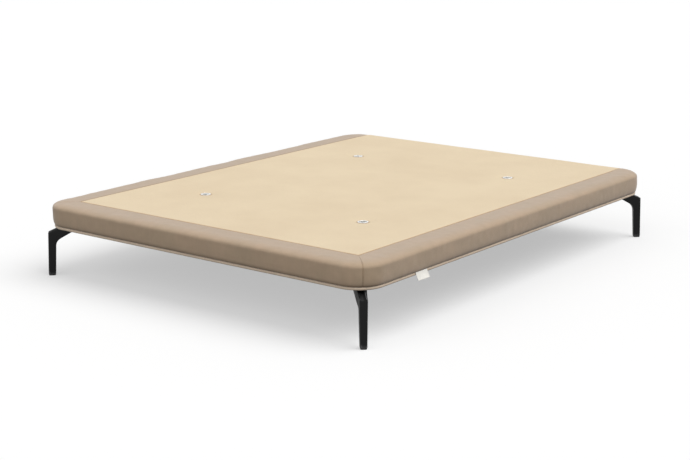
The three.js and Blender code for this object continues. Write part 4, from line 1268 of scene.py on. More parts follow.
def make_seam_stitches(scene):
    cover, piping, detail = scene.base_cover, scene.base_piping, scene.base_detail
    stitches, finishes = scene.base_stitches, scene.base_finishes
    side_x = cover.width / 2 - cover.border
    foot_y = -cover.length / 2 + cover.border
    corner_x, corner_y = panel_corner(cover)
    height = cover.height - cover.seam_dip - stitches.depth
    near = set_back(cover.inner_radius)
    right = [
        (side_x, corner_y, height),
        (side_x, foot_y + cover.inner_radius, height),
        (side_x - near, foot_y + near, height),
        (side_x - cover.inner_radius, foot_y, height),
    ]
    left = [(-x, y, z) for x, y, z in reversed(right)]
    panel = stitch_rows("panel_seam_stitches", [right + left], scene, stitches.lean)
    dress(panel, thread_finish("seam_thread", finishes.thread), "panel_fabric")

    insets, heights = band_profile(cover, piping, detail)
    out_inset, out_height = line_normals(insets, heights)
    sunk = cover.mitre_dip * MITRE_DEPTH_SHARE
    section = list(zip(insets - sunk * out_inset, heights - sunk * out_height))[SECTION_START:-SECTION_END]
    corner_lines = []
    for corner, share in (("foot_right", 0.5), ("foot_left", 0.5), ("head_right", 1), ("head_left", 0)):
        x, y, normal_x, normal_y = corner_station(cover, corner, share)
        corner_lines.append([(x - inset * normal_x, y - inset * normal_y, z) for inset, z in section])
    seam_inset, seam_height = edge_curve(cover, np.array([cover.head_seam_share]))
    head_y = cover.length / 2 - float(seam_inset[0]) - cover.seam_dip * HEAD_INSET_SHARE
    head_z = float(seam_height[0]) - cover.seam_dip * HEAD_DEPTH_SHARE
    corner_lines.append([(corner_x, head_y, head_z), (-corner_x, head_y, head_z)])
    corners = stitch_rows("corner_seam_stitches", corner_lines, scene, 0.0, CORNER_STITCH_SHARE)
    dress(corners, thread_finish("corner_thread", finishes.border_warm), "border_fabric")


# Vents

def lathe(name, profile, steps, centre=(0, 0)):
    """Turns a closed section of (radius, height) points round Z."""
    points = []
    for k in range(steps):
        angle = 2 * math.pi * k / steps
        for radius, height in profile:
            x = centre[0] + radius * math.cos(angle)
            y = centre[1] + radius * math.sin(angle)
            points.append((x, y, height))
    return build_object(name, points, ring_faces(steps, len(profile), closed=True))


# The rim: its small lower rounding and the rise of its crown, as shares of its half thickness
RIM_FILLET_SHARE = 0.2
RIM_CROWN_SHARE = 1.12
RIM_OUTER_STEPS = 8
RIM_INNER_STEPS = 6
RIM_SHARP_ANGLE = 50


def rim_profile(vents, flange):
    """The rim's section, from the inner lip out and back over its rounded top."""
    round_off = vents.rim_thickness / 2
    middle = flange + round_off
    bottom = flange - vents.collar
    collar = vents.bore + vents.collar_wall
    lip = vents.bore - vents.lip
    fillet = RIM_FILLET_SHARE * round_off
    return [
        (lip, bottom),
        (collar, bottom),
        (collar, flange - fillet),
        (collar + fillet, flange),
        *arc_points((vents.rim - round_off, middle), round_off, -90, 90, RIM_OUTER_STEPS),
        ((vents.rim + vents.bore) / 2, middle + round_off * RIM_CROWN_SHARE),
        *arc_points((vents.bore + round_off, middle), round_off, 90, 180, RIM_INNER_STEPS),
        (vents.bore, bottom + vents.lip_thickness),
        (lip, bottom + vents.lip_thickness),
    ]


def make_vents(scene):
    cover, vents, detail = scene.base_cover, scene.base_vents, scene.base_detail
    metal = vent_finish(scene.base_finishes)
    wire = gauze_finish(scene.base_finishes)
    seat = cover.height - vents.depth
    profile = [(radius, seat + height) for radius, height in rim_profile(vents, cover.gap)]
    level = seat + cover.gap - vents.collar + vents.lip_thickness + cover.gap + 2 * vents.wire
    tree = gauze_tree()
    for corner, centre in vent_places(vents).items():
        rim = lathe("vent_rim_" + corner + "_turned", profile, detail.round_steps, centre)
        smooth_all(rim, RIM_SHARP_ANGLE)
        dress(rim, metal, "vent_metal", "vent_rim_" + corner)
        carrier = line_object("gauze_carrier", [[(0, 0, 0)]])
        gauze = Recipe.apply(tree, "vent_gauze_" + corner, carrier, {
            "Radius": vents.bore - cover.gap, "Pitch": vents.wire_pitch, "Wire": vents.wire, "Finish": wire,
        })
        gauze.data.transform(Matrix.Translation((*centre, level)))
        smooth_all(gauze)
        dress(gauze, wire, "vent_metal", "vent_screen_" + corner)
        repaint("vent_back_ring_" + corner, metal)


def repaint(node, material):
    """Gives a CAD node that stays its finish."""
    obj = frame["nodes"][node]
    if not obj.material_slots:
        obj.data.materials.append(material)
    for slot in obj.material_slots:
        slot.material = material


# Legs

# Steps along the leg's side view
POST_STEPS = 14
SHOULDER_STEPS = 6
SLANT_STEPS = 10
CREST_STEPS = 4
ARM_STEPS = 8
BEND_STEPS = 20
EDGE_STEPS = 6
SCOOP_STEPS = 96
# The most that the rounded edges take of the leg's depth
EDGE_DEPTH_SHARE = 0.42
# Sharper edges than these are rounded, and then drawn sharp, in degrees
BEVEL_ANGLE = 32
LEG_SHARP_ANGLE = 42
TIP_SHARP_ANGLE = 40
# The tip's soft lower edge: each ring's height and how far it lies back
TIP_EDGE = ((0, 0.0012), (0.0004, 0.0004), (0.0012, 0))


def leg_place(cover, corner):
    """The place and turn of a leg: its own X runs outwards along the diagonal."""
    back = set_back(cover.border + cover.inner_radius)
    sign_x, sign_y = CORNER_SIGNS[corner]
    origin = Vector((sign_x * (cover.width / 2 - back), sign_y * (cover.length / 2 - back), 0))
    return Matrix.Translation(origin) @ Matrix.Rotation(CORNER_TURNS[corner], 4, "Z")


def corner_curve(before, corner, after, run, steps):
    """A quadratic curve that cuts a corner at a set run on both sides."""
    first = corner + (before - corner).normalized() * run
    last = corner + (after - corner).normalized() * run
    curve = []
    for share in (k / steps for k in range(steps + 1)):
        rest = 1 - share
        curve.append(first * rest ** 2 + corner * 2 * share * rest + last * share ** 2)
    return curve


def straight(first, last, steps):
    return [first.lerp(last, k / steps) for k in range(1, steps)]


def leg_lines(cover, legs):
    """Matching points along the outer and inner line of the leg's side view, from the foot up."""
    top = cover.underside + legs.plate
    low = legs.glide + cover.gap
    foot_out = Vector((legs.foot_reach, low))
    foot_in = Vector((legs.foot_reach - legs.post_depth, low))
    shoulder = Vector((legs.post_reach, cover.underside - legs.post_drop))
    crest = Vector((-legs.arm_inset, top))
    end_out = Vector((-legs.arm_end, top))
    bend = Vector((-legs.bend_inset, cover.underside - legs.bend_drop))
    end_in = Vector((-legs.arm_end, cover.underside - legs.arm_drop))
    at_shoulder = corner_curve(foot_out, shoulder, crest, legs.shoulder_run, SHOULDER_STEPS)
    at_crest = corner_curve(shoulder, crest, end_out, legs.shoulder_run, CREST_STEPS)
    outer = [
        foot_out, *straight(foot_out, at_shoulder[0], POST_STEPS), *at_shoulder,
        *straight(at_shoulder[-1], at_crest[0], SLANT_STEPS), *at_crest,
        *straight(at_crest[-1], end_out, ARM_STEPS), end_out,
    ]
    curve = corner_curve(foot_in, bend, end_in, legs.bend_run, BEND_STEPS)
    inner = [foot_in, *straight(foot_in, curve[0], POST_STEPS), *curve]
    return outer, [*inner, *straight(curve[-1], end_in, len(outer) - len(inner)), end_in]


def leg_width(cover, legs, reach, height):
    climb = min(1, max(0, height / (cover.underside - legs.post_drop)))
    along = min(1, max(0, -reach / legs.arm_end))
    post = legs.foot_width + (legs.post_width - legs.foot_width) * climb
    return post + (legs.arm_width - legs.post_width) * along


def leg_blank(cover, legs):
    """The leg before its hollow is cut: rounded sections carried from the foot to the arm's end."""
    outer, inner = leg_lines(cover, legs)
    points = []
    for out_point, in_point in zip(outer, inner):
        across = out_point - in_point
        depth = across.length
        middle = (out_point + in_point) / 2
        half = leg_width(cover, legs, middle.x, middle.y) / 2
        radius = min(legs.edge_radius, depth * EDGE_DEPTH_SHARE)
        for start, sign_a, sign_b in ((0, 1, 1), (90, -1, 1), (180, -1, -1), (270, 1, -1)):
            centre = (sign_a * (depth / 2 - radius), sign_b * (half - radius))
            for a, side in arc_points(centre, radius, start, start + 90, EDGE_STEPS):
                place = middle + across / depth * a
                points.append((place.x, side, place.y))
    return build_object("leg_blank", points, ring_faces(len(outer), 4 * (EDGE_STEPS + 1)))


def prism(name, outline, low, high):
    points = [(x, y, height) for height in (low, high) for x, y in outline]
    return build_object(name, points, ring_faces(2, len(outline)), smooth=False)


def rounded_outline(corners, run):
    corners = [Vector(corner) for corner in corners]
    outline = []
    for before, corner, after in zip(corners[-1:] + corners, corners, corners[1:] + corners[:1]):
        outline.extend(corner_curve(before, corner, after, run, EDGE_STEPS))
    return [(point.x, point.y) for point in outline]


def plate_outline(legs, grow=0.0):
    front, back = -legs.plate_front + grow, -legs.plate_back - grow
    half_front, half, half_back = (
        value + grow for value in (legs.plate_front_half, legs.plate_half, legs.plate_back_half)
    )
    return rounded_outline([
        (front, -half_front), (front, half_front), (-legs.plate_shoulder, half),
        (back, half_back), (back, -half_back), (-legs.plate_shoulder, -half),
    ], legs.plate_corner)


def combine(target, tool, operation):
    modifier = target.modifiers.new(operation.lower(), "BOOLEAN")
    modifier.operation = operation
    modifier.object = tool
    modifier.solver = "EXACT"
    name = target.name
    made = evaluated_copy(name + "_cut", target)
    made.name = name
    remove_object(tool)
    return made


def leg_mesh(cover, legs):
    """One whole leg in its own place, with its slanted top hollowed out."""
    top = cover.underside + legs.plate
    post_top = cover.underside - legs.post_drop
    rise, reach = top - post_top, legs.post_reach + legs.arm_inset
    run = math.hypot(rise, reach)
    turns = [2 * math.pi * k / SCOOP_STEPS for k in range(SCOOP_STEPS)]
    outline = [(legs.scoop_radius * math.cos(turn), legs.scoop_radius * math.sin(turn)) for turn in turns]
    scoop = prism("scoop", outline, -run, run)
    scoop.data.transform(
        Matrix.Translation((legs.post_reach, 0, post_top))
        @ Matrix.Rotation(math.atan2(rise, reach), 4, "Y")
        @ Matrix.Translation((0, 0, legs.scoop_radius - legs.scoop_depth))
        @ Matrix.Rotation(math.pi / 2, 4, "Y")
    )
    leg = combine(leg_blank(cover, legs), scoop, "DIFFERENCE")
    leg = combine(leg, prism("plate", plate_outline(legs), cover.underside, top), "UNION")
    bevel = leg.modifiers.new("fine_edges", "BEVEL")
    bevel.width = legs.fine_edge
    bevel.segments = 2
    bevel.limit_method = "ANGLE"
    bevel.angle_limit = math.radians(BEVEL_ANGLE)
    leg = evaluated_copy("leg", leg)
    smooth_all(leg, LEG_SHARP_ANGLE)
    return leg


def tip_mesh(legs):
    """The tip under the post, with a soft lower edge."""
    middle = legs.foot_reach - legs.post_depth / 2
    half_depth = legs.post_depth / 2 - legs.glide_margin
    half_side = legs.foot_width / 2 - legs.glide_margin
    points = []
    for height, shrink in (*TIP_EDGE, (legs.glide, 0)):
        low, high = middle - half_depth + shrink, middle + half_depth - shrink
        side = half_side - shrink
        corners = [(low, -side), (high, -side), (high, side), (low, side)]
        outline = rounded_outline(corners, legs.glide_corner)
        points.extend((x, y, height) for x, y in outline)
    return build_object("tip", points, ring_faces(len(TIP_EDGE) + 1, len(outline)))


def place_copy(source, name, matrix):
    mesh = source.data.copy()
    mesh.name = name
    mesh.transform(matrix)
    return link_object(name, mesh)


def make_legs(scene):
    cover, legs = scene.base_cover, scene.base_legs
    metal = leg_finish(scene.base_finishes)
    nylon = tip_finish(scene.base_finishes)
    leg, tip = leg_mesh(cover, legs), tip_mesh(legs)
    for corner in CORNER_SIGNS:
        matrix = leg_place(cover, corner)
        dress(place_copy(leg, "cast_leg_" + corner, matrix), metal, "leg_metal", "leg_" + corner)
        foot = place_copy(tip, "leg_tip_" + corner, matrix)
        smooth_all(foot, TIP_SHARP_ANGLE)
        dress(foot, nylon, "glide_plastic", "foot_glide_" + corner)
    remove_object(leg)
    remove_object(tip)


# Underside

# Edges sharper than these are drawn sharp, in degrees
DUST_SHARP_ANGLE = 40
SCREW_SHARP_ANGLE = 35
SCREW_STEPS = 32
# Distance between its grid lines, in spacings along the cloth
DUST_SPACING = 4
# How far the dust cover's cutter reaches below its top, in plate thicknesses
CUTTER_REACH = 4
# The even and the changing part of the dust cover's sag
SAG_SHARE = 0.75
SAG_CHANGE_SHARE = 0.25
# A sharp bend widens a bent wire by one over this at most
BEND_SHARE = 0.3
# The screw's domed head: its straight side as a share of its height, and where its rings lie
HEAD_SIDE_SHARE = 0.15
DOME_SHARES = np.linspace(0.1, 1, 8)


def make_dust_cover(scene):
    cover, legs, under = scene.base_cover, scene.base_legs, scene.base_underside
    detail = scene.base_detail
    plate = legs.plate
    top = cover.underside + plate
    half_x = cover.width / 2 - under.dust_inset
    half_y = cover.length / 2 - under.dust_inset
    radius = cover.border + cover.inner_radius - under.dust_inset
    outline = []
    for turn, (sign_x, sign_y) in enumerate(((1, 1), (-1, 1), (-1, -1), (1, -1))):
        centre = (sign_x * (half_x - radius), sign_y * (half_y - radius))
        outline.extend(arc_points(centre, radius, 90 * turn, 90 * turn + 90, detail.arc_steps))
    cutter = prism("dust_cutter", outline, top - CUTTER_REACH * plate, top + plate)
    for corner in CORNER_SIGNS:
        outline = plate_outline(legs, cover.gap)
        opening = prism("opening", outline, top - (CUTTER_REACH + 1) * plate, top + 2 * plate)
        opening.data.transform(leg_place(cover, corner))
        cutter = combine(cutter, opening, "DIFFERENCE")
    over, spacing = under.dust_thickness, detail.spacing * DUST_SPACING
    x_lines, y_lines = (steps_between(-half - over, half + over, spacing) for half in (half_x, half_y))
    x, y = (part.reshape(-1) for part in np.meshgrid(x_lines, y_lines))
    away = np.minimum(half_x - np.abs(x), half_y - np.abs(y))
    for corner in CORNER_SIGNS:
        place = leg_place(cover, corner).translation
        away = np.minimum(away, np.hypot(x - place.x, y - place.y) - legs.plate_back - plate)
    hang = 1 - np.exp(-(np.clip(away, 0, None) / (2 * under.staple_inset)) ** 2)
    flat = np.stack([x, y, np.zeros_like(x)], axis=1)
    change = bumps(flat, SAG_CHANGE_SHARE, 3 * under.staple_pitch, detail.seed + 8)
    upper = np.stack([x, y, top - under.sag * hang * (SAG_SHARE + change)], axis=1)
    lower = upper - np.array([0, 0, under.dust_thickness])
    columns = len(x_lines)
    faces = [
        (row + k, row + k + 1, row + columns + k + 1, row + columns + k)
        for row in range(0, (len(y_lines) - 1) * columns, columns) for k in range(columns - 1)
    ]
    sheet = closed_sheet("dust_cloth_grid", upper, lower, faces, flat[:, :2])
    sheet = combine(sheet, cutter, "INTERSECT")
    sheet.name = "dust_cloth"
    smooth_all(sheet, DUST_SHARP_ANGLE)
    dress(sheet, dust_finish(scene.base_finishes), "dust_cloth", "dust_cover")


def wire_shape(name, path, size, depth):
    """A flat wire bent along a path in the XZ plane."""
    points = []
    path = [Vector(point) for point in path]
    for i, point in enumerate(path):
        before, after = path[max(i - 1, 0)], path[min(i + 1, len(path) - 1)]
        first = (point - before).normalized() if i else (after - point).normalized()
        second = (after - point).normalized() if i < len(path) - 1 else first
        along = (first + second).normalized()
        side = Vector((-along.y, along.x)) / max(BEND_SHARE, along.dot(first))
        for offset, across in ((-1, -1), (1, -1), (1, 1), (-1, 1)):
            place = point + side * offset * depth / 2
            points.append((place.x, across * size / 2, place.y))
    return build_object(name, points, ring_faces(len(path), 4), smooth=False)


def make_staples(scene):
    cover, legs, under = scene.base_cover, scene.base_legs, scene.base_underside
    level = cover.underside + legs.plate - under.dust_thickness - under.staple_wire / 4
    half = under.staple_width / 2
    bend = under.staple_wire
    crown = wire_shape("staple_shape", [
        (-half, 3 * bend), (-half, bend), (-half + bend, 0),
        (half - bend, 0), (half, bend), (half, 3 * bend),
    ], under.staple_wire, under.staple_wire / 2)
    x = cover.width / 2 - under.staple_inset
    y = cover.length / 2 - under.staple_inset
    near_x, near_y = (half - under.staple_margin for half in (cover.width / 2, cover.length / 2))
    lines = [
        [(x, -near_y, level), (x, near_y, level)],
        [(near_x, y, level), (-near_x, y, level)],
        [(-x, near_y, level), (-x, -near_y, level)],
        [(-near_x, -y, level), (near_x, -y, level)],
    ]
    carrier = line_object("staple_lines", lines)
    steel = steel_finish(scene.base_finishes)
    staples = Recipe.apply(row_tree(), "dust_cover_staples", carrier, {
        "Shape": crown, "Spacing": under.staple_pitch, "Lean": under.staple_lean, "Size": 1.0,
        "Finish": steel,
    })
    remove_object(crown)
    dress(staples, steel, "screw_steel")


def revolved(name, profile, steps):
    """A solid of revolution round Z. The profile starts and ends on the axis."""
    points = [(0, 0, profile[0][1])]
    faces = []
    rings = []
    for radius, height in profile[1:-1]:
        rings.append([len(points) + k for k in range(steps)])
        points.extend((x, y, height) for x, y in arc_points((0, 0), radius, 0, 360, steps)[:-1])
    points.append((0, 0, profile[-1][1]))
    last = len(points) - 1
    for k in range(steps):
        after = (k + 1) % steps
        faces.append((0, rings[0][after], rings[0][k]))
        faces.append((last, rings[-1][k], rings[-1][after]))
        for low, high in zip(rings, rings[1:]):
            faces.append((low[k], low[after], high[after], high[k]))
    return build_object(name, points, faces)


def screw_mesh(under):
    """A leg screw with a domed head below zero height and its shaft above."""
    head, height = under.head_radius, under.head_height
    dome = []
    for turn in DOME_SHARES * math.pi / 2:
        drop = HEAD_SIDE_SHARE + (1 - HEAD_SIDE_SHARE) * math.cos(turn)
        dome.append((head * math.sin(turn), -height * drop))
    screw = revolved("leg_screw", [
        (0, dome[0][1]), *dome, (head, 0), (under.screw_radius, 0),
        (under.screw_radius, under.screw_length), (0, under.screw_length),
    ], SCREW_STEPS)
    hexagon = arc_points((0, 0), under.socket_radius, 0, 360, 6)[:-1]
    socket = prism("socket", hexagon, -2 * height, -height + under.socket_depth)
    return combine(screw, socket, "DIFFERENCE")


def make_leg_screws(scene):
    cover, legs, under = scene.base_cover, scene.base_legs, scene.base_underside
    seats = [
        (-legs.side_screw_inset, legs.side_screw_spread),
        (-legs.side_screw_inset, -legs.side_screw_spread),
        (-legs.rear_screw_inset, 0),
    ]
    places = []
    for corner in CORNER_SIGNS:
        matrix = leg_place(cover, corner)
        places.extend(matrix @ Vector((reach, side, cover.underside)) for reach, side in seats)
    carrier = line_object("screw_seats", [[place] for place in places])
    shape = screw_mesh(under)
    steel = steel_finish(scene.base_finishes)
    screws = Recipe.apply(point_tree(), "leg_screws", carrier, {
        "Shape": shape, "Seed": scene.base_detail.seed, "Finish": steel,
    })
    remove_object(shape)
    smooth_all(screws, SCREW_SHARP_ANGLE)
    nodes = [f"leg_screw_{corner}_{number}" for corner in CORNER_SIGNS for number in (1, 2, 3)]
    dress(screws, steel, "screw_steel", *nodes)


# Wooden frame

def finish_frame(scene):
    finishes = scene.base_finishes
    along_x = wood_finish(finishes, "pine_across", 0)
    along_y = wood_finish(finishes, "pine_along", 90)
    board = board_finish(finishes)
    for node in frame["nodes"]:
        if node in ("rail_left", "rail_right"):
            repaint(node, along_y)
        elif node.startswith(("rail_", "cross_bar_", "corner_block_")):
            repaint(node, along_x)
        elif node.startswith("deck_board_"):
            repaint(node, board)


# Finishes

# Between these lie nearly all values of a noise
NOISE_LOW = 0.3
NOISE_HIGH = 0.7
# How strong the painted seam shades are at their deepest
BORDER_SEAM_SHADE_SHARE = 0.85
PANEL_SEAM_SHADE_SHARE = 0.95
# Top of the cover to where the groove's painted shade tone is plain, and to where the corner seams' painted
# shade tone is
GROOVE_SHADE_DROP = 0.055
MITRE_SHADE_DROP = 0.032
DARK_GRAIN_SHARE = 0.75


class Finish(NodeMaker):
    """A procedural material, written step by step."""

    def __init__(self, name, sockets):
        self.material = bpy.data.materials.new(name)
        self.material.use_nodes = True
        self.tree = self.material.node_tree
        self.shader = next(node for node in self.tree.nodes if node.type == "BSDF_PRINCIPLED")
        for label, value in sockets.items():
            self.shader.inputs[label].default_value = value

    def place(self, kind="Object", scale=(1, 1, 1), turn=0):
        source = self.add("ShaderNodeTexCoord").outputs[kind]
        mapping = self.add("ShaderNodeMapping", {
            "Vector": source, "Scale": scale, "Rotation": (0, 0, math.radians(turn)),
        })
        return mapping.outputs[0]

    def noise(self, vector, scale, detail=3.0, roughness=0.5, distortion=0.0):
        return self.add("ShaderNodeTexNoise", {
            "Vector": vector, "Scale": scale, "Detail": detail, "Roughness": roughness,
            "Distortion": distortion,
        }).outputs[0]

    def cells(self, vector, scale, randomness=1.0):
        return self.add("ShaderNodeTexVoronoi", {
            "Vector": vector, "Scale": scale, "Randomness": randomness,
        }).outputs["Distance"]

    def spread(self, value, first=0.0, last=1.0, low=NOISE_LOW, high=NOISE_HIGH):
        """Spreads the values between low and high over first to last."""
        return self.add("ShaderNodeMapRange", {0: value, 1: low, 2: high, 3: first, 4: last}).outputs[0]

    def mix(self, share, first, second, blend="MIX"):
        return self.add(
            "ShaderNodeMix", {0: share, 6: first, 7: second}, data_type="RGBA", blend_type=blend,
        ).outputs[2]

    def tinted(self, colour, *layers):
        """Multiplies a colour by values, each given with what spread takes."""
        tone = self.spread(*layers[0])
        for layer in layers[1:]:
            tone = self.math("MULTIPLY", tone, self.spread(*layer))
        grey = self.add("ShaderNodeCombineColor", {0: tone, 1: tone, 2: tone}).outputs[0]
        return self.mix(1.0, colour, grey, "MULTIPLY")

    def seam_shade(self):
        return self.add("ShaderNodeAttribute", attribute_name="seam_shade").outputs["Fac"]

    def relief(self, layers):
        """Bumps from (height, distance, strength) layers, the coarsest first."""
        normal = None
        for height, distance, strength in layers:
            links = {"Height": height, "Distance": distance, "Strength": strength}
            if normal is not None:
                links["Normal"] = normal
            normal = self.add("ShaderNodeBump", links).outputs[0]
        self.tree.links.new(normal, self.shader.inputs["Normal"])

    def finish(self, colour=None, roughness=None):
        if colour is not None:
            self.tree.links.new(colour, self.shader.inputs["Base Color"])
        if roughness is not None:
            self.tree.links.new(roughness, self.shader.inputs["Roughness"])
        return self.material


def border_cloth(finishes, top):
    """Brushed cloth with a soft nap: uneven tints, streaks down the sides and short fibres, with painted
    shade in its seams and in the groove over the piping.
    """
    cloth = Finish("border_cloth", {
        "Roughness": 0.92, "Sheen Weight": 0.72, "Sheen Roughness": 0.45,
        "Sheen Tint": linear(236, 234, 232), "Specular IOR Level": 0.2,
    })
    place = cloth.place()
    tints = cloth.spread(cloth.noise(place, 9.0, 3.0, 0.62), 0, 1, 0.38, 0.62)
    brushed = cloth.noise(cloth.place(scale=(1, 1, 0.14)), 130.0, 4.0, 0.6)
    patches = cloth.noise(place, 34.0, 4.0, 0.55, 0.4)
    fibres = cloth.noise(place, 1400.0, 2.0, 0.6)
    colour = cloth.tinted(
        cloth.mix(tints, finishes.border_warm, finishes.border_cool),
        (brushed, 0.98, 1.02), (patches, 0.97, 1.03), (fibres, 0.94, 1.06, 0.25, 0.75),
    )
    # Painted shade: the seam shade attribute darkens the cloth towards the groove tone low down and towards
    # the corner seam tone higher up.
    height = cloth.add("ShaderNodeSeparateXYZ", {0: place}).outputs["Z"]
    level = cloth.spread(height, 0, 1, top - GROOVE_SHADE_DROP, top - MITRE_SHADE_DROP)
    inside = cloth.mix(level, finishes.groove, finishes.corner_seam_shade)
    colour = cloth.mix(cloth.math("MULTIPLY", cloth.seam_shade(), BORDER_SEAM_SHADE_SHARE), colour, inside)
    cloth.relief([(patches, 0.0012, 0.25), (brushed, 0.0006, 0.12), (fibres, 0.00025, 0.45)])
    return cloth.finish(colour)


def panel_cloth(finishes):
    """Fine non-slip cloth: a close diagonal net of small raised knots on a woven ground, with painted shade
    along its seams and round the vents.
    """
    cloth = Finish("panel_cloth", {
        "Roughness": 0.86, "Sheen Weight": 0.08, "Sheen Roughness": 0.5, "Specular IOR Level": 0.25,
    })
    place = cloth.place()
    tints = cloth.spread(cloth.noise(place, 3.5, 3.0, 0.6), 0, 1, 0.35, 0.65)
    knots = cloth.cells(cloth.place("UV", turn=45), 320.0, 0.0)
    raised = cloth.spread(knots, 1, 0, 0.18, 0.5)
    weave = cloth.add("ShaderNodeTexChecker", {
        "Vector": cloth.place("UV"), "Scale": 1300.0, "Color1": (1, 1, 1, 1), "Color2": (0, 0, 0, 1),
    }).outputs["Fac"]
    specks = cloth.noise(place, 900.0, 2.0, 0.6)
    colour = cloth.tinted(
        cloth.mix(tints, finishes.panel, finishes.panel_deep),
        (raised, 0.91, 1.04, 0, 1), (specks, 0.95, 1.05, 0.25, 0.75), (weave, 0.985, 1.015, 0, 1),
    )
    # Painted shade: the seam shade attribute darkens the cloth towards the seam tone along the seams and
    # round the vents.
    seams = cloth.math("MULTIPLY", cloth.seam_shade(), PANEL_SEAM_SHADE_SHARE)
    cloth.relief([(raised, 0.00035, 0.5), (weave, 0.0001, 0.4), (specks, 0.00015, 0.4)])
    return cloth.finish(cloth.mix(seams, colour, finishes.seam))


def piping_cloth(finishes):
    """Piping covered in cloth cut on the bias, with its weave running slantwise round the cord."""
    cloth = Finish("piping_cloth", {
        "Roughness": 0.88, "Sheen Weight": 0.15, "Sheen Roughness": 0.5, "Specular IOR Level": 0.25,
    })
    place = cloth.place()
    across = cloth.add("ShaderNodeSeparateXYZ", {0: cloth.place("UV", turn=45)}).outputs
    ribs, cross = (cloth.math("SINE", cloth.math("MULTIPLY", across[axis], 9000.0)) for axis in "XY")
    weave = cloth.math("MAXIMUM", ribs, cross)
    tints = cloth.noise(place, 26.0, 3.0, 0.6)
    folds = cloth.noise(place, 150.0, 2.0, 0.5)
    cloth.relief([(folds, 0.0006, 0.35), (weave, 0.00012, 0.5)])
    return cloth.finish(cloth.tinted(
        finishes.piping, (tints, 0.94, 1.05), (weave, 0.94, 1.03, -1, 1), (folds, 0.96, 1.03),
    ))


def thread_finish(name, colour):
    """Twisted thread with a slight gloss."""
    thread = Finish(name, {"Roughness": 0.55, "Sheen Weight": 0.2, "Specular IOR Level": 0.4})
    twist = thread.noise(thread.place(scale=(1, 1, 0.4)), 2600.0, 2.0, 0.5)
    age = thread.noise(thread.place(), 40.0, 2.0, 0.5)
    thread.relief([(twist, 0.0002, 0.6)])
    return thread.finish(thread.tinted(colour, (twist, 0.82, 1.1), (age, 0.93, 1.05)))


def label_cloth(finishes):
    """Bare woven satin."""
    cloth = Finish("label_satin", {
        "Roughness": 0.42, "Sheen Weight": 0.15, "Specular IOR Level": 0.45, "Anisotropic": 0.4,
    })
    threads = cloth.add("ShaderNodeSeparateXYZ", {0: cloth.place("UV")})
    weave = cloth.math("SINE", cloth.math("MULTIPLY", threads.outputs["Y"], 12000.0))
    soft = cloth.noise(cloth.place(), 60.0, 3.0, 0.5)
    cloth.relief([(soft, 0.0008, 0.25), (weave, 0.00008, 0.4)])
    return cloth.finish(cloth.tinted(finishes.label, (weave, 0.97, 1.01, -1, 1), (soft, 0.97, 1.02)))


def dust_finish(finishes):
    """Thin felted cloth, pressed with small dots."""
    cloth = Finish("dust_felt", {"Roughness": 0.95, "Sheen Weight": 0.1, "Specular IOR Level": 0.15})
    place = cloth.place()
    pressed = cloth.spread(cloth.cells(place, 420.0, 0.0), 1, 0, 0.2, 0.4)
    fibres = cloth.noise(place, 700.0, 4.0, 0.7)
    clouds = cloth.noise(place, 22.0, 4.0, 0.6)
    cloth.relief([(clouds, 0.002, 0.3), (pressed, -0.0002, 0.6), (fibres, 0.00015, 0.5)])
    return cloth.finish(cloth.tinted(
        finishes.dust, (clouds, 0.82, 1.2), (fibres, 0.8, 1.2), (pressed, 1.0, 0.8, 0, 1),
    ))


def foam_finish(finishes):
    """Open foam with fine pores."""
    foam = Finish("open_foam", {
        "Roughness": 0.95, "Specular IOR Level": 0.15,
        "Subsurface Weight": 0.15, "Subsurface Scale": 0.004,
    })
    place = foam.place()
    pores = foam.cells(place, 900.0)
    clouds = foam.noise(place, 12.0, 3.0, 0.6)
    foam.relief([(pores, 0.0006, 0.6)])
    return foam.finish(foam.tinted(finishes.foam, (pores, 0.82, 1.03, 0.1, 0.6), (clouds, 0.95, 1.03)))


def leg_finish(finishes):
    """Powder-coated casting: satin black with a fine orange-peel, a little dust, and painted highlights on
    its sharp edges.
    """
    coat = Finish("black_casting", {"Roughness": 0.42, "Specular IOR Level": 0.18})
    place = coat.place()
    peel = coat.noise(place, 900.0, 2.0, 0.5)
    cast = coat.noise(place, 55.0, 3.0, 0.55)
    dust = coat.noise(place, 14.0, 4.0, 0.6)
    # Painted highlight: sharp edges, found by their pointiness, are lightened towards the edge highlight
    # tone.
    rims = coat.spread(coat.add("ShaderNodeNewGeometry").outputs["Pointiness"], 0, 1, 0.52, 0.57)
    colour = coat.tinted(
        coat.mix(rims, finishes.leg, finishes.leg_edge_highlight), (cast, 0.85, 1.15), (dust, 0.9, 1.2, 0.35, 0.7),
    )
    coat.relief([(cast, 0.0006, 0.2), (peel, 0.00008, 0.35)])
    return coat.finish(colour, coat.spread(dust, 0.36, 0.52))


def tip_finish(finishes):
    """Moulded black nylon."""
    tip = Finish("black_nylon", {"Roughness": 0.5, "Specular IOR Level": 0.45})
    grain = tip.noise(tip.place(), 1600.0, 2.0, 0.6)
    scuffs = tip.noise(tip.place(scale=(1, 1, 6)), 60.0, 4.0, 0.65)
    tip.relief([(grain, 0.00008, 0.4), (scuffs, 0.0002, 0.3)])
    colour = tip.tinted(finishes.nylon, (scuffs, 1.0, 1.7, 0.45, 0.75))
    return tip.finish(colour, tip.spread(scuffs, 0.42, 0.62, 0.4, 0.75))


def vent_finish(finishes):
    """Brushed, plated metal."""
    metal = Finish("brushed_vent_metal", {"Metallic": 1.0, "Roughness": 0.28, "Anisotropic": 0.3})
    brushed = metal.noise(metal.place(scale=(1, 14, 1)), 260.0, 3.0, 0.6)
    tarnish = metal.noise(metal.place(), 70.0, 3.0, 0.5)
    metal.relief([(brushed, 0.00006, 0.3)])
    colour = metal.tinted(finishes.vent, (brushed, 0.93, 1.05), (tarnish, 1.0, 0.93, 0.4, 0.7))
    return metal.finish(colour, metal.spread(tarnish, 0.22, 0.36))


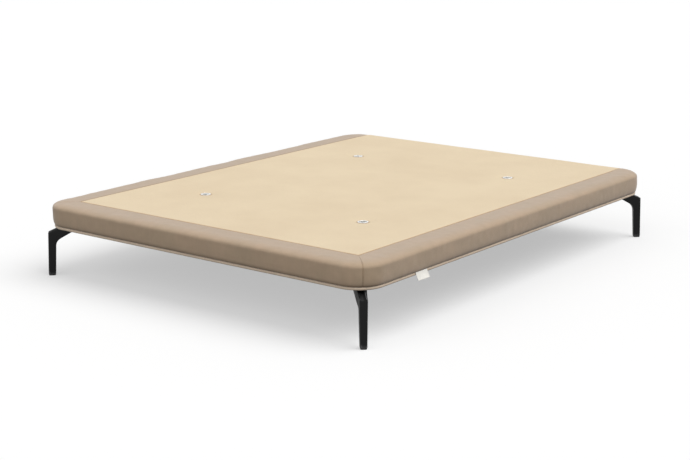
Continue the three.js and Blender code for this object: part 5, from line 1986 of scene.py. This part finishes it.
def gauze_finish(finishes):
    """Drawn wire with a dull shine."""
    wire = Finish("gauze_wire", {"Metallic": 0.85, "Roughness": 0.42})
    tarnish = wire.noise(wire.place(), 240.0, 3.0, 0.6)
    wire.relief([(tarnish, 0.00004, 0.3)])
    return wire.finish(wire.tinted(finishes.gauze, (tarnish, 0.85, 1.1)))


def steel_finish(finishes):
    """Zinc-plated steel with faint marks."""
    existing = bpy.data.materials.get("plated_steel")
    if existing:
        return existing
    steel = Finish("plated_steel", {"Metallic": 1.0, "Roughness": 0.32})
    bloom = steel.noise(steel.place(), 90.0, 3.0, 0.6)
    marks = steel.noise(steel.place(scale=(1, 9, 1)), 500.0, 2.0, 0.6)
    steel.relief([(marks, 0.00005, 0.35)])
    return steel.finish(steel.tinted(finishes.steel, (bloom, 0.9, 1.05)), steel.spread(bloom, 0.26, 0.42))


def wood_finish(finishes, name, turn):
    """Planed pine with its grain along X, turned by an angle."""
    wood = Finish(name, {"Roughness": 0.62, "Specular IOR Level": 0.35})
    rings = wood.noise(wood.place(scale=(0.06, 1, 1), turn=-turn), 34.0, 3.0, 0.45, 0.6)
    lines = wood.math("SINE", wood.math("MULTIPLY", rings, 42.0))
    pores = wood.noise(wood.place(scale=(0.03, 1, 1), turn=-turn), 520.0, 2.0, 0.6)
    share = wood.math("MULTIPLY", wood.spread(lines, 0, 1, 0.1, 1), DARK_GRAIN_SHARE)
    colour = wood.tinted(wood.mix(share, finishes.pine, finishes.pine_dark), (pores, 0.88, 1.06))
    wood.relief([(lines, 0.0003, 0.25), (pores, 0.0002, 0.4)])
    return wood.finish(colour, wood.spread(lines, 0.56, 0.68, -1, 1))


def board_finish(finishes):
    """Pressed board of flat wood strands."""
    board = Finish("strand_board", {"Roughness": 0.7, "Specular IOR Level": 0.3})
    strands = board.add("ShaderNodeTexVoronoi", {
        "Vector": board.place(scale=(0.35, 1, 1), turn=20), "Scale": 60.0,
    })
    share = board.add("ShaderNodeSeparateColor", {0: strands.outputs["Color"]}).outputs[0]
    grain = board.noise(board.place(scale=(0.05, 1, 1)), 380.0, 3.0, 0.6)
    colour = board.tinted(board.mix(share, finishes.board, finishes.board_dark), (grain, 0.85, 1.08))
    board.relief([(strands.outputs["Distance"], 0.0006, 0.3), (grain, 0.0002, 0.4)])
    return board.finish(colour)


# Stage

SENSOR_WIDTH = 36


def seen_share(maker):
    """One where a ray comes from the camera, a reflection or a clear material, and otherwise zero."""
    rays = maker.add("ShaderNodeLightPath").outputs
    seen = maker.math("MAXIMUM", rays["Is Camera Ray"], rays["Is Glossy Ray"])
    return maker.math("MAXIMUM", seen, rays["Is Transmission Ray"])


def floor_finish(stage):
    """Plain white as far as it is seen, with shadows, and dull where it throws light back."""
    floor = Finish("studio_floor", {})
    tree = floor.tree
    tree.nodes.remove(floor.shader)
    glow = stage.floor_glow_share
    seen = floor.add("ShaderNodeBsdfDiffuse", {"Color": (1 - glow, 1 - glow, 1 - glow, 1)})
    plain = floor.add("ShaderNodeEmission", {"Color": (1, 1, 1, 1), "Strength": glow})
    shown = floor.add("ShaderNodeAddShader", {0: seen, 1: plain})
    bounce = stage.floor_bounce_share
    lit = floor.add("ShaderNodeBsdfDiffuse", {"Color": (bounce, bounce, bounce, 1)})
    mixed = floor.add("ShaderNodeMixShader", {0: seen_share(floor), 1: lit, 2: shown})
    output = next(node for node in tree.nodes if node.type == "OUTPUT_MATERIAL")
    tree.links.new(mixed.outputs[0], output.inputs["Surface"])
    return floor.material


def add_lamp(scene, name, strength, size, tilt, turn):
    """A wide lamp far away, leaning from straight above towards a turn round the base."""
    lamp = bpy.data.lights.new(name, "SUN")
    lamp.energy = strength
    lamp.angle = size
    obj = bpy.data.objects.new(name, lamp)
    obj.rotation_euler = (0, tilt, turn)
    scene.collection.objects.link(obj)


def make_stage(scene):
    stage = scene.base_stage
    scene.view_settings.view_transform = "Standard"
    half = stage.floor_size / 2
    floor = build_object(
        "floor", [(-half, -half, 0), (half, -half, 0), (half, half, 0), (-half, half, 0)], [(0, 1, 2, 3)],
        smooth=False,
    )
    floor.data.materials.append(floor_finish(stage))

    world = bpy.data.worlds.new("studio")
    world.use_nodes = True
    scene.world = world
    sky = NodeMaker(world.node_tree)
    background = next(node for node in sky.tree.nodes if node.type == "BACKGROUND")
    level = sky.math("ADD", stage.sky, sky.math("MULTIPLY", seen_share(sky), 1 - stage.sky))
    background.inputs["Color"].default_value = (1, 1, 1, 1)
    sky.tree.links.new(level, background.inputs["Strength"])

    add_lamp(scene, "key", stage.key_strength, stage.key_size, stage.key_tilt, stage.key_turn)
    add_lamp(scene, "fill", stage.fill_strength, stage.fill_size, stage.fill_tilt, stage.fill_turn)

    data = bpy.data.cameras.new("camera")
    data.lens = stage.lens
    data.sensor_width = SENSOR_WIDTH
    data.sensor_fit = "HORIZONTAL"
    camera = bpy.data.objects.new("camera", data)
    camera.location = (stage.camera_x, stage.camera_y, stage.camera_z)
    turn = Euler((math.pi / 2 - stage.pitch, 0, stage.yaw)).to_matrix()
    camera.rotation_euler = (turn @ Matrix.Rotation(stage.roll, 3, "Z")).to_euler()
    scene.collection.objects.link(camera)
    scene.camera = camera


# Operators, panel and main

class BASE_OT_stage(bpy.types.Operator):
    """Makes the floor, the light and the camera"""

    bl_idname = "mattress_base.stage"
    bl_label = "Studio stage"

    def execute(self, context):
        make_stage(context.scene)
        return {"FINISHED"}


class BASE_OT_frame(bpy.types.Operator):
    """Gives the wooden frame and the deck boards their finish"""

    bl_idname = "mattress_base.frame"
    bl_label = "Wooden frame"

    def execute(self, context):
        finish_frame(context.scene)
        return {"FINISHED"}


class BASE_OT_foam(bpy.types.Operator):
    """Makes the foam top and the foam edges"""

    bl_idname = "mattress_base.foam"
    bl_label = "Foam"

    def execute(self, context):
        make_foam(context.scene)
        return {"FINISHED"}


class BASE_OT_borders(bpy.types.Operator):
    """Makes the border bands of the cover"""

    bl_idname = "mattress_base.borders"
    bl_label = "Border bands"

    def execute(self, context):
        make_borders(context.scene)
        return {"FINISHED"}


class BASE_OT_top_panel(bpy.types.Operator):
    """Makes the top panel of the cover"""

    bl_idname = "mattress_base.top_panel"
    bl_label = "Top panel"

    def execute(self, context):
        make_top_panel(context.scene)
        return {"FINISHED"}


class BASE_OT_piping(bpy.types.Operator):
    """Makes the piping round the lower edge"""

    bl_idname = "mattress_base.piping"
    bl_label = "Piping"

    def execute(self, context):
        make_piping(context.scene)
        return {"FINISHED"}


class BASE_OT_stitches(bpy.types.Operator):
    """Makes the stitches along the seams of the cover"""

    bl_idname = "mattress_base.stitches"
    bl_label = "Seam stitches"

    def execute(self, context):
        make_seam_stitches(context.scene)
        return {"FINISHED"}


class BASE_OT_label(bpy.types.Operator):
    """Makes the bare label under the piping"""

    bl_idname = "mattress_base.label"
    bl_label = "Bare label"

    def execute(self, context):
        make_label(context.scene)
        return {"FINISHED"}


class BASE_OT_vents(bpy.types.Operator):
    """Makes the four air vents with their gauze"""

    bl_idname = "mattress_base.vents"
    bl_label = "Air vents"

    def execute(self, context):
        make_vents(context.scene)
        return {"FINISHED"}


class BASE_OT_legs(bpy.types.Operator):
    """Makes the four cast legs and their tips"""

    bl_idname = "mattress_base.legs"
    bl_label = "Legs"

    def execute(self, context):
        make_legs(context.scene)
        return {"FINISHED"}


class BASE_OT_underside(bpy.types.Operator):
    """Makes the dust cover, its staples and the leg screws"""

    bl_idname = "mattress_base.underside"
    bl_label = "Underside"

    def execute(self, context):
        make_dust_cover(context.scene)
        make_staples(context.scene)
        make_leg_screws(context.scene)
        return {"FINISHED"}


OPERATORS = (
    BASE_OT_stage, BASE_OT_frame, BASE_OT_foam, BASE_OT_borders, BASE_OT_top_panel, BASE_OT_piping,
    BASE_OT_stitches, BASE_OT_label, BASE_OT_vents, BASE_OT_legs, BASE_OT_underside,
)


class BASE_PT_sidebar(bpy.types.Panel):
    """Lists the pieces of the base and their sizes"""

    bl_idname = "BASE_PT_sidebar"
    bl_label = "Mattress base"
    bl_space_type = "VIEW_3D"
    bl_region_type = "UI"
    bl_category = "Mattress base"

    def draw(self, context):
        for operator in OPERATORS:
            self.layout.operator(operator.bl_idname)
        for key, group in GROUPS.items():
            box = self.layout.box()
            for name in group.__annotations__:
                box.prop(getattr(context.scene, key), name)


def register():
    for group in GROUPS.values():
        bpy.utils.register_class(group)
    for key, group in GROUPS.items():
        setattr(bpy.types.Scene, key, PointerProperty(type=group))
    for operator in OPERATORS:
        bpy.utils.register_class(operator)
    bpy.utils.register_class(BASE_PT_sidebar)


def unregister():
    bpy.utils.unregister_class(BASE_PT_sidebar)
    for operator in reversed(OPERATORS):
        bpy.utils.unregister_class(operator)
    for key in GROUPS:
        delattr(bpy.types.Scene, key)
    for group in reversed(GROUPS.values()):
        bpy.utils.unregister_class(group)


def main():
    register()
    bpy.ops.mattress_base.stage()
    bpy.ops.mattress_base.frame()
    bpy.ops.mattress_base.foam()
    bpy.ops.mattress_base.borders()
    bpy.ops.mattress_base.top_panel()
    bpy.ops.mattress_base.piping()
    bpy.ops.mattress_base.stitches()
    bpy.ops.mattress_base.label()
    bpy.ops.mattress_base.vents()
    bpy.ops.mattress_base.legs()
    bpy.ops.mattress_base.underside()


if __name__ == "__main__":
    main()
